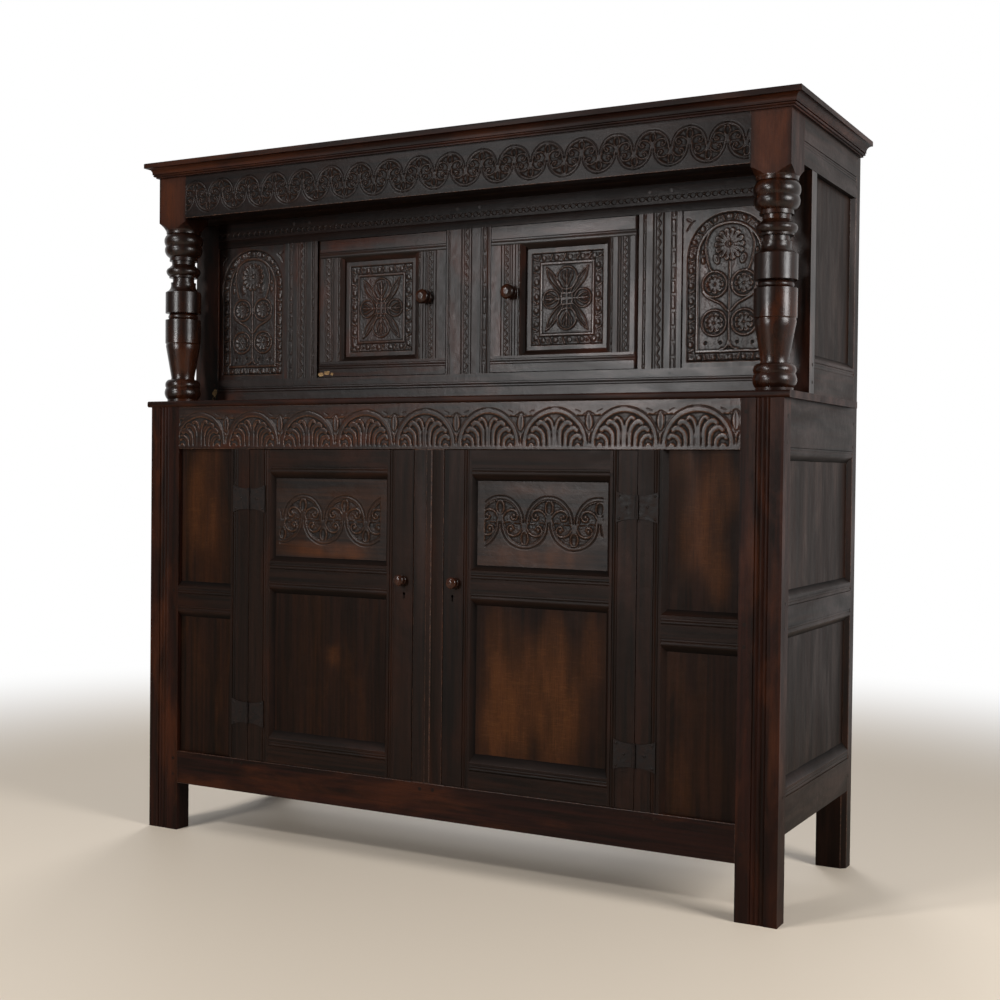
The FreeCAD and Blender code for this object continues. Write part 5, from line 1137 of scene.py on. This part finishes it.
def panel_slab(name, node, board, carve=riven, glow=None, facing="front", material=None, steps=(3.0, 5.0),
               sink=0.0, axis=2):
    """A slab over the visible part of one board of a node, a little inside its grooves."""
    low, high = extent(boards_of(node)[board][0])
    run, depth = (0, 1) if facing == "front" else (1, 0)
    for side in (run, 2):
        low[side] += GROOVE_PLAY
        high[side] -= GROOVE_PLAY
    if facing == "right":
        high[depth] -= sink
    else:
        low[depth] += sink
    return carved_slab(name, low, high, carve, [node], body_of(node), slot_of(node), material or PANEL_OAK,
                       axis=axis, facing=facing, board=f"{node} {board}", glow=glow, steps=steps)


def levels_of(node):
    """Board numbers of a node, from the lowest board up."""
    boards = boards_of(node)
    return sorted(range(len(boards)), key=lambda index: boards[index][0][:, 2].mean())


# Orange middles of the bay panels: the wood under thin wax, with strengths that are partly painted light,
# stronger high up.
BAY_GLOWS_AND_LIGHT = {("right", "upper"): [(655, 810, 85, 180, 0.22)], ("right", "lower"): [(650, 330, 80, 160, 0.05)],
             ("left", "upper"): [(-665, 810, 75, 170, 0.19)], ("left", "lower"): [(-670, 430, 60, 120, 0.02)]}
for side in SIDES:
    for level, board in zip(("lower", "upper"), levels_of(f"bay_panels_{side}")):
        panel_slab(f"bay_panel_{level}_{side}", f"bay_panels_{side}", board,
                   glow=glowing(*BAY_GLOWS_AND_LIGHT[side, level]))
    for level, board in zip(("lower", "upper"), levels_of(f"side_panels_{side}")):
        panel_slab(f"side_panel_{level}_{side}", f"side_panels_{side}", board, facing=side)
    panel_slab(f"upper_side_panel_slab_{side}", f"upper_side_panel_{side}", 0, facing=side)
print("riven panels in place")

# %% [markdown]
# ## Lower doors
# The upper panel of each door carries two and a half arches of the scroll band; the band of
# the right door runs a little higher. The lower panels are plain; the right one glows strongest
# and the left one barely, which is in part painted light.

# %% Lower door panels
DOOR_BANDS = {"right": (178, 798, 1.0, 139, 428), "left": (-360, 791, 1.0, -428, -139)}
CARVED_GLOWS = {"right": [(280, 722, 160, 30, 0.4), (285, 872, 130, 16, 0.15)],
                "left": [(-285, 722, 150, 26, 0.3)]}
# Orange middles of the plain door panels: strong on the right, faint on the left, partly painted light.
DOOR_GLOWS_AND_LIGHT = {"right": [(280, 425, 165, 200, 0.31), (195, 385, 75, 130, 0.1)],
              "left": [(-280, 430, 150, 180, 0.02), (-268, 475, 35, 35, 0.12)]}
for side in SIDES:
    node = f"lower_door_panels_{side}"
    lower, upper = levels_of(node)
    panel_slab(f"door_panel_carved_{side}", node, upper, glow=glowing(*CARVED_GLOWS[side]), axis=0,
               carve=lambda x, z, band=DOOR_BANDS[side]: scroll_band(x, z, *band) + 0.3 * riven(z, x),
               material=CARVED_PANEL_OAK, steps=(GRID, GRID))
    panel_slab(f"door_panel_plain_{side}", node, lower, glow=glowing(*DOOR_GLOWS_AND_LIGHT[side]))
print("lower door panels in place")

# %% [markdown]
# ## The set-back cupboard
# Arcades at the ends, flowers on the doors, and worked uprights between them. The doors' and
# muntins' boards are carved on their whole face, so slabs take the place of those boards.

# %% Arcades, flowers and worked uprights
ARCADE_MIDDLE = 644.4
FIELD_LOW, FIELD_HIGH, FLOWER_MIDDLE = (164, 1203), (342.5, 1413), (253, 1308)
FINE = (0.7, 1.4)


def mirrored(carve, side):
    return carve if side == "right" else (lambda x, z: carve(-x, z))


def upright(name, node, board, low_z, high_z, carve, side=None):
    """A worked stile or muntin between two levels; carve's x starts at the edge nearer the middle."""
    low, high = extent(boards_of(node)[board][0])
    low[2], high[2] = low_z, high_z
    start = min(abs(low[0]), abs(high[0])) / MM if side else 0
    return carved_slab(name, low, high, mirrored(lambda x, z: carve(x - start, z), side or "right"), [node],
                       body_of(node), slot_of(node), CARVED_OAK, axis=2, board=f"{node} {board}", steps=FINE)


STILE_ENDS = (1180 * MM, 1437 * MM)
base_top = node_box("recess_base_rail")[1][2]
top_low = node_box("recess_top_rail")[0][2]
for side in SIDES:
    panel_slab(f"arcade_{side}", f"arcade_panel_{side}", 0,
               carve=mirrored(lambda x, z: arcade(x - ARCADE_MIDDLE, z), side), material=CARVED_OAK,
               steps=(GRID, GRID))
    panel_slab(f"door_flower_{side}", f"upper_door_panel_{side}", 0, sink=3 * MM,
               carve=mirrored(lambda x, z: door_panel(x, z, FIELD_LOW, FIELD_HIGH, FLOWER_MIDDLE), side),
               material=CARVED_OAK, steps=(1.1, 1.1))
    upright(f"worked_muntin_{side}", f"arcade_muntin_{side}", 0, base_top, top_low, wide_muntin, side)
    node = f"upper_door_frame_{side}"
    stiles = [index for index, (points, tris) in enumerate(boards_of(node)) if np.ptp(points[:, 2]) > UPRIGHT]
    stiles.sort(key=lambda index: np.abs(boards_of(node)[index][0][:, 0]).mean())
    for kind, board, carve in zip(("lock", "hinge"), stiles, (lock_stile, hinge_stile)):
        upright(f"worked_{kind}_stile_{side}", node, board, *STILE_ENDS, carve, side)
upright("worked_centre_muntin", "recess_centre_muntin", 0, base_top, top_low, centre_muntin)
print("set-back cupboard carved")

# %% [markdown]
# ## Chain band, pegs and nails
# Small things that only show close up: the chain cut in the rail over the doors, the oak
# pegs that pin each mortise and tenon, the rose-headed nails of the hinges and of the back
# boards, and the rivets of the locks. Pegs were split and whittled, so they are not round,
# and stand a hair proud. A smith drew each nail's head to a low pyramid. All of them are
# rings of corners joined up to a small closed mesh; small random shifts keep them uneven.

# %% Chain band
CHAIN_LEVEL = 1515
CHAIN_HALF = 6.2
chain_end = node_box("end_stile_right")[0][0] - SHY
chain_low = (-chain_end, RECESS - 0.1 * MM, (CHAIN_LEVEL - CHAIN_HALF) * MM)
chain_high = (chain_end, RECESS + 6 * MM, (CHAIN_LEVEL + CHAIN_HALF) * MM)
# The chain band takes the rail's near-black finish, painted shade under the canopy.
carved_slab("chain_band", chain_low, chain_high, lambda x, z: chain(x, z - CHAIN_LEVEL), [], "carcase",
            "oak", SMOKED_OAK_AND_SHADE, board="recess_top_rail 0", steps=(1.3, 0.9))
print("chain band, half length:", round(chain_end, 3))

# %% Heads of pegs and nails
dice = random.Random(1650)
FACING = {"-Y": ("X", 90), "+Y": ("X", -90), "+X": ("Y", 90), "-X": ("Y", -90)}
TIP = 0.88  # a flat head's top is this share of its foot


def studs(name, places, body, slot, material, sides, radius, rise, sink, dome=0.0, axis="-Y"):
    """One mesh of small heads: faceted discs, or low pyramids when dome is above 0."""
    heads = bmesh.new()
    grain, tones = [], []
    pivot, degrees = FACING[axis]
    turn = Matrix.Rotation(math.radians(degrees), 4, pivot)
    for spot in places:
        size = radius * dice.uniform(0.88, 1.1)
        twist = dice.uniform(0, math.tau)
        rings = [(-sink, 1.0), (rise * (1 - dome), 1.0), (rise, TIP - 0.75 * dome)]
        loops = []
        for level, share in rings:
            loops.append([heads.verts.new(Vector(spot) + turn @ Vector((
                size * share * math.cos(twist + math.tau * k / sides),
                size * share * math.sin(twist + math.tau * k / sides), level))) for k in range(sides)])
        heads.faces.new(loops[0][::-1])
        heads.faces.new(loops[-1])
        for below, above in zip(loops, loops[1:]):
            for k in range(sides):
                heads.faces.new((below[k], below[(k + 1) % sides], above[(k + 1) % sides], above[k]))
        shade = dice.uniform(0.1, 0.9)
        for loop in loops:
            grain += [v.co + Vector(spot) * 7 for v in loop]
            tones += [shade] * sides
    mesh = bpy.data.meshes.new(name)
    heads.to_mesh(mesh)
    heads.free()
    set_grain(mesh, grain, tone=tones)
    place_piece(name, mesh, [material], body, (), slot)


# %% Pegs
PEG = {"sides": 7, "radius": 4.2 * MM, "rise": 0.3 * MM, "sink": 3 * MM}


def astray(reach):
    return dice.uniform(-reach, reach)


def pegs(face, *joints):
    """Two pegs for each joint on both halves; a joint is (x, z, shift in x, shift in z) in mm."""
    spots = []
    for x, z, *shift in joints:
        for way in (-0.5, 0.5):
            for sign in (-1, 1) if x else (1,):
                spots.append((sign * (x + way * shift[0] + astray(1.5)) * MM, face,
                              (z + way * shift[1] + astray(1.5)) * MM))
    return spots


front_pegs = pegs(FRONT, (748, 1011, 0, 52), (748, 160, 0, 40), (748, 583, 0, 44), (544, 188, 28, 0),
                  (0, 186, 36, 0))
recess_pegs = pegs(RECESS, (763, 1512, 0, 34), (763, 1110, 0, 34), (486, 1530, 50, 0), (486, 1130, 50, 0),
                   (0, 1530, 60, 0), (0, 1130, 60, 0))
CASE_LEVELS, BASE_LEVELS = (975, 1028, 600, 650, 215, 258), (1105, 1142)  # pegs of the side rails
for name, spots, finish in (("frame_pegs", front_pegs, OAK), ("recess_pegs", recess_pegs, CARVED_OAK)):
    studs(name, spots, "carcase", "oak", finish, **PEG)
for side, sign in zip(SIDES, (-1, 1)):
    spots = pegs(FRONT, (109, 923, 0, 34), (451, 923, 0, 34), (109, 656, 0, 50), (451, 656, 0, 50),
                 (109, 240, 0, 40), (451, 240, 0, 40))
    studs(f"door_pegs_{side}", [spot for spot in spots if spot[0] * sign > 0], f"lower_door_{side}", "oak",
          OAK, **{**PEG, "radius": 4.0 * MM})
    spots = [(sign * 825 * MM, FRONT + depth * MM, z * MM) for depth, levels in (
        (30, CASE_LEVELS), (522, CASE_LEVELS + BASE_LEVELS + (1572, 1640)), (190, BASE_LEVELS))
        for z in levels]
    studs(f"side_pegs_{side}", spots, "carcase", "oak", OAK, axis="+X" if sign > 0 else "-X", **PEG)
print("pegs in the front:", len(front_pegs) + len(recess_pegs), "in each side:", len(spots))


# %% Hinge nails
def nailed_leaves(name, node, body):
    """Three rose-headed nails on each hinge leaf, two at its wide end and one by the knuckle."""
    spots = []
    for points, tris in boards_of(node):
        low, high = extent(points)
        door_leaf = node.startswith("door")
        wide_end = low[0] if (low[0] > 0) == door_leaf else high[0]
        inward = 1 if wide_end == low[0] else -1
        face = points[np.abs(points[:, 0] - wide_end) < 0.6 * MM][:, 1].min()
        middle = (low[2] + high[2]) / 2
        spots += [(wide_end + inward * across * MM, face, middle + level * MM) for across, level in
                  ((7, 24), (7, -24), (24, 1))]
    studs(name, spots, body, "iron", IRON, sides=8, radius=3.4 * MM, rise=1.3 * MM, sink=1.5 * MM, dome=0.75)


nailed_leaves("frame_hinge_nails", "frame_hinge_leaves", "carcase")
for side in SIDES:
    nailed_leaves(f"door_hinge_nails_{side}", f"door_hinge_leaves_{side}", f"lower_door_{side}")
print("hinge leaves nailed")

# %% Lock rivets
PLATE_THICK = 2 * MM
RIVET_INSET = 6 * MM
for side in SIDES:
    low, high = node_box(f"lock_plate_{side}")
    rivets = [(x, low[1] + PLATE_THICK, z) for x in (low[0] + RIVET_INSET, high[0] - RIVET_INSET)
              for z in (low[2] + RIVET_INSET, high[2] - RIVET_INSET)]
    studs(f"lock_rivets_{side}", rivets, f"lower_door_{side}", "iron", IRON, sides=8, radius=2.6 * MM,
          rise=1.0 * MM, sink=1.0 * MM, dome=0.5, axis="+Y")
print("rivets on each lock plate:", len(rivets))

# %% Board nails
NAIL_INSET = 30 * MM
board_edges = [extent(points) for points, tris in boards_of("back_boards")]
rail_levels = [(points[:, 2].min() + points[:, 2].max()) / 2 for points, tris in boards_of("back_rails")]
nails = [(x + astray(2) * MM, high[1], z + astray(4) * MM) for low, high in board_edges
         for x in (low[0] + NAIL_INSET, high[0] - NAIL_INSET) for z in rail_levels]
studs("back_board_nails", nails, "carcase", "iron", IRON, sides=8, radius=3.6 * MM, rise=1.2 * MM,
      sink=1.5 * MM, dome=0.7, axis="+Y")
print("nails in the back:", len(nails))

# %% [markdown]
# ## Broken corners
# Where a corner broke off, the wax went with it and raw oak shows. Each spot is a thin
# flake with a ragged outline, laid a quarter of a millimetre before the board's face.

# %% Broken corners
FLAKE_CORNERS = 11


def broken(name, face, spots, body):
    """Pale flakes where the wax broke off with the wood: thin plates with a ragged outline."""
    flakes = bmesh.new()
    for x, z, wide, tall in spots:
        outline = []
        for k in range(FLAKE_CORNERS):
            turn, size = math.tau * k / FLAKE_CORNERS, dice.uniform(0.55, 1.0)
            outline.append((x + wide * size * math.cos(turn), z + tall * size * math.sin(turn)))
        loops = [[flakes.verts.new((px * MM, face + level, pz * MM)) for px, pz in outline]
                 for level in (1 * MM, -0.25 * MM)]
        flakes.faces.new(loops[0][::-1])
        flakes.faces.new(loops[1])
        for k in range(FLAKE_CORNERS):
            flakes.faces.new((loops[0][k - 1], loops[0][k], loops[1][k], loops[1][k - 1]))
    bmesh.ops.recalc_face_normals(flakes, faces=flakes.faces[:])
    points = np.array([v.co for v in flakes.verts])
    mesh = bpy.data.meshes.new(name)
    flakes.to_mesh(mesh)
    flakes.free()
    set_grain(mesh, points[:, ALONG[0]], tone=0.5)
    place_piece(name, mesh, [RAW_OAK], body)


broken("broken_sill_left_door", RECESS, [(-423, 1149, 9, 6), (-405, 1152, 12, 6), (-389, 1149, 6, 5)],
       "upper_door_left")
broken("broken_foot_left_end_stile", RECESS, [(-762, 1108, 9, 13), (-764, 1093, 7, 8)], "carcase")
print("corners broken")

# %% [markdown]
# ## Floor, background and lamps
# A pale floor that fades into a white background. The glints on the posts and the knobs'
# shadows tell of a small lamp high on the left and of a window behind it; their likeness in
# the wax shows the carving. A wide weak lamp lights the right side, another one the back.
# Almost black wax shows whatever stands before it, so the backdrop is white for the camera
# and for gloss only behind the cupboard; the room on the photographer's side is dim.

# %% Stage
FLOOR_TONE = "#d0c3b2"
FLOOR_NEAR, FLOOR_FAR = 1.5, 3.6  # the floor turns into the white backdrop between these
AIR = 0.12                        # how much light comes from all round


def shows_backdrop(tree, place):
    """1 for rays that see the white backdrop: the camera's, and those of gloss from behind the cupboard.

    The room on the photographer's side isn't white, so gloss shows only the lamps and dim air there."""
    path = add(tree, "LightPath").node.outputs
    shown = add(tree, "Math", {0: path["Is Glossy Ray"], 1: path["Is Transmission Ray"]}, operation="MAXIMUM")
    depth = add(tree, "SeparateXYZ", {0: place}).node.outputs["Y"]
    behind = add(tree, "MapRange", {"Value": depth, "From Min": -0.3, "From Max": 0.1})
    shown = add(tree, "Math", {0: shown, 1: behind}, operation="MULTIPLY")
    return add(tree, "Math", {0: shown, 1: path["Is Camera Ray"]}, operation="MAXIMUM")


def pale_floor():
    material, tree = new_material("pale_floor")
    place = add(tree, "TexCoord").node.outputs["Object"]
    reach = add(tree, "VectorMath", {0: place}, operation="LENGTH")
    away = add(tree, "MapRange", {"Value": reach, "From Min": FLOOR_NEAR, "From Max": FLOOR_FAR},
               interpolation_type="SMOOTHSTEP")
    white_share = add(tree, "Math", {0: away, 1: shows_backdrop(tree, place)}, operation="MULTIPLY")
    matt = add(tree, "BsdfPrincipled", {"Base Color": linear(FLOOR_TONE), "Roughness": 0.6})
    white = add(tree, "Emission", {"Color": (1, 1, 1, 1), "Strength": 1.0})
    mixed = add(tree, "MixShader", {0: white_share, 1: matt, 2: white})
    add(tree, "OutputMaterial", {"Surface": mixed})
    return material


floor_mesh = bpy.data.meshes.new("floor")
FLOOR_REACH = 14.0
floor_corners = [(x * FLOOR_REACH, y * FLOOR_REACH, 0) for x, y in ((-1, -1), (1, -1), (1, 1), (-1, 1))]
floor_mesh.from_pydata(floor_corners, [], [(0, 1, 2, 3)])
floor_mesh.materials.append(pale_floor())
floor = bpy.data.objects.new("floor", floor_mesh)
bpy.context.collection.objects.link(floor)
print("floor turns white beyond", FLOOR_FAR, "m")

# %% Air
world = bpy.data.worlds.new("studio")
world.use_nodes = True
bpy.context.scene.world = world
sky = world.node_tree
sky.nodes.clear()
direction = add(sky, "TexCoord").node.outputs["Generated"]
strength = add(sky, "MapRange", {"Value": shows_backdrop(sky, direction), "To Min": AIR})
air = add(sky, "Background", {"Color": (1, 1, 1, 1), "Strength": strength})
add(sky, "OutputWorld", {"Surface": air})
print("light from all round:", AIR)


# %% Lamps
def lamp(name, spot, target, wide, tall, power):
    """A lamp with a flat shade, its size in metres and its power in watts, turned to a target."""
    data = bpy.data.lights.new(name, "AREA")
    data.shape, data.size, data.size_y, data.energy = "RECTANGLE", wide, tall, power
    item = bpy.data.objects.new(name, data)
    bpy.context.collection.objects.link(item)
    item.location = spot
    item.rotation_euler = (Vector(target) - Vector(spot)).to_track_quat("-Z", "Y").to_euler()


lamp("key_lamp", (-1.7, -3.3, 3.1), (0, 0, 0.9), 0.4, 0.4, 72)
lamp("window_lamp", (-1.35, -4.5, 1.55), (0, 0, 1.1), 0.7, 1.1, 120)
lamp("fill_lamp", (3.4, -0.8, 1.9), (0.8, 0, 0.9), 1.2, 1.2, 110)
lamp("back_lamp", (-1.8, 3.6, 2.6), (0, 0.3, 0.8), 1.6, 1.6, 70)
print("lamps lit:", len(bpy.data.lights))
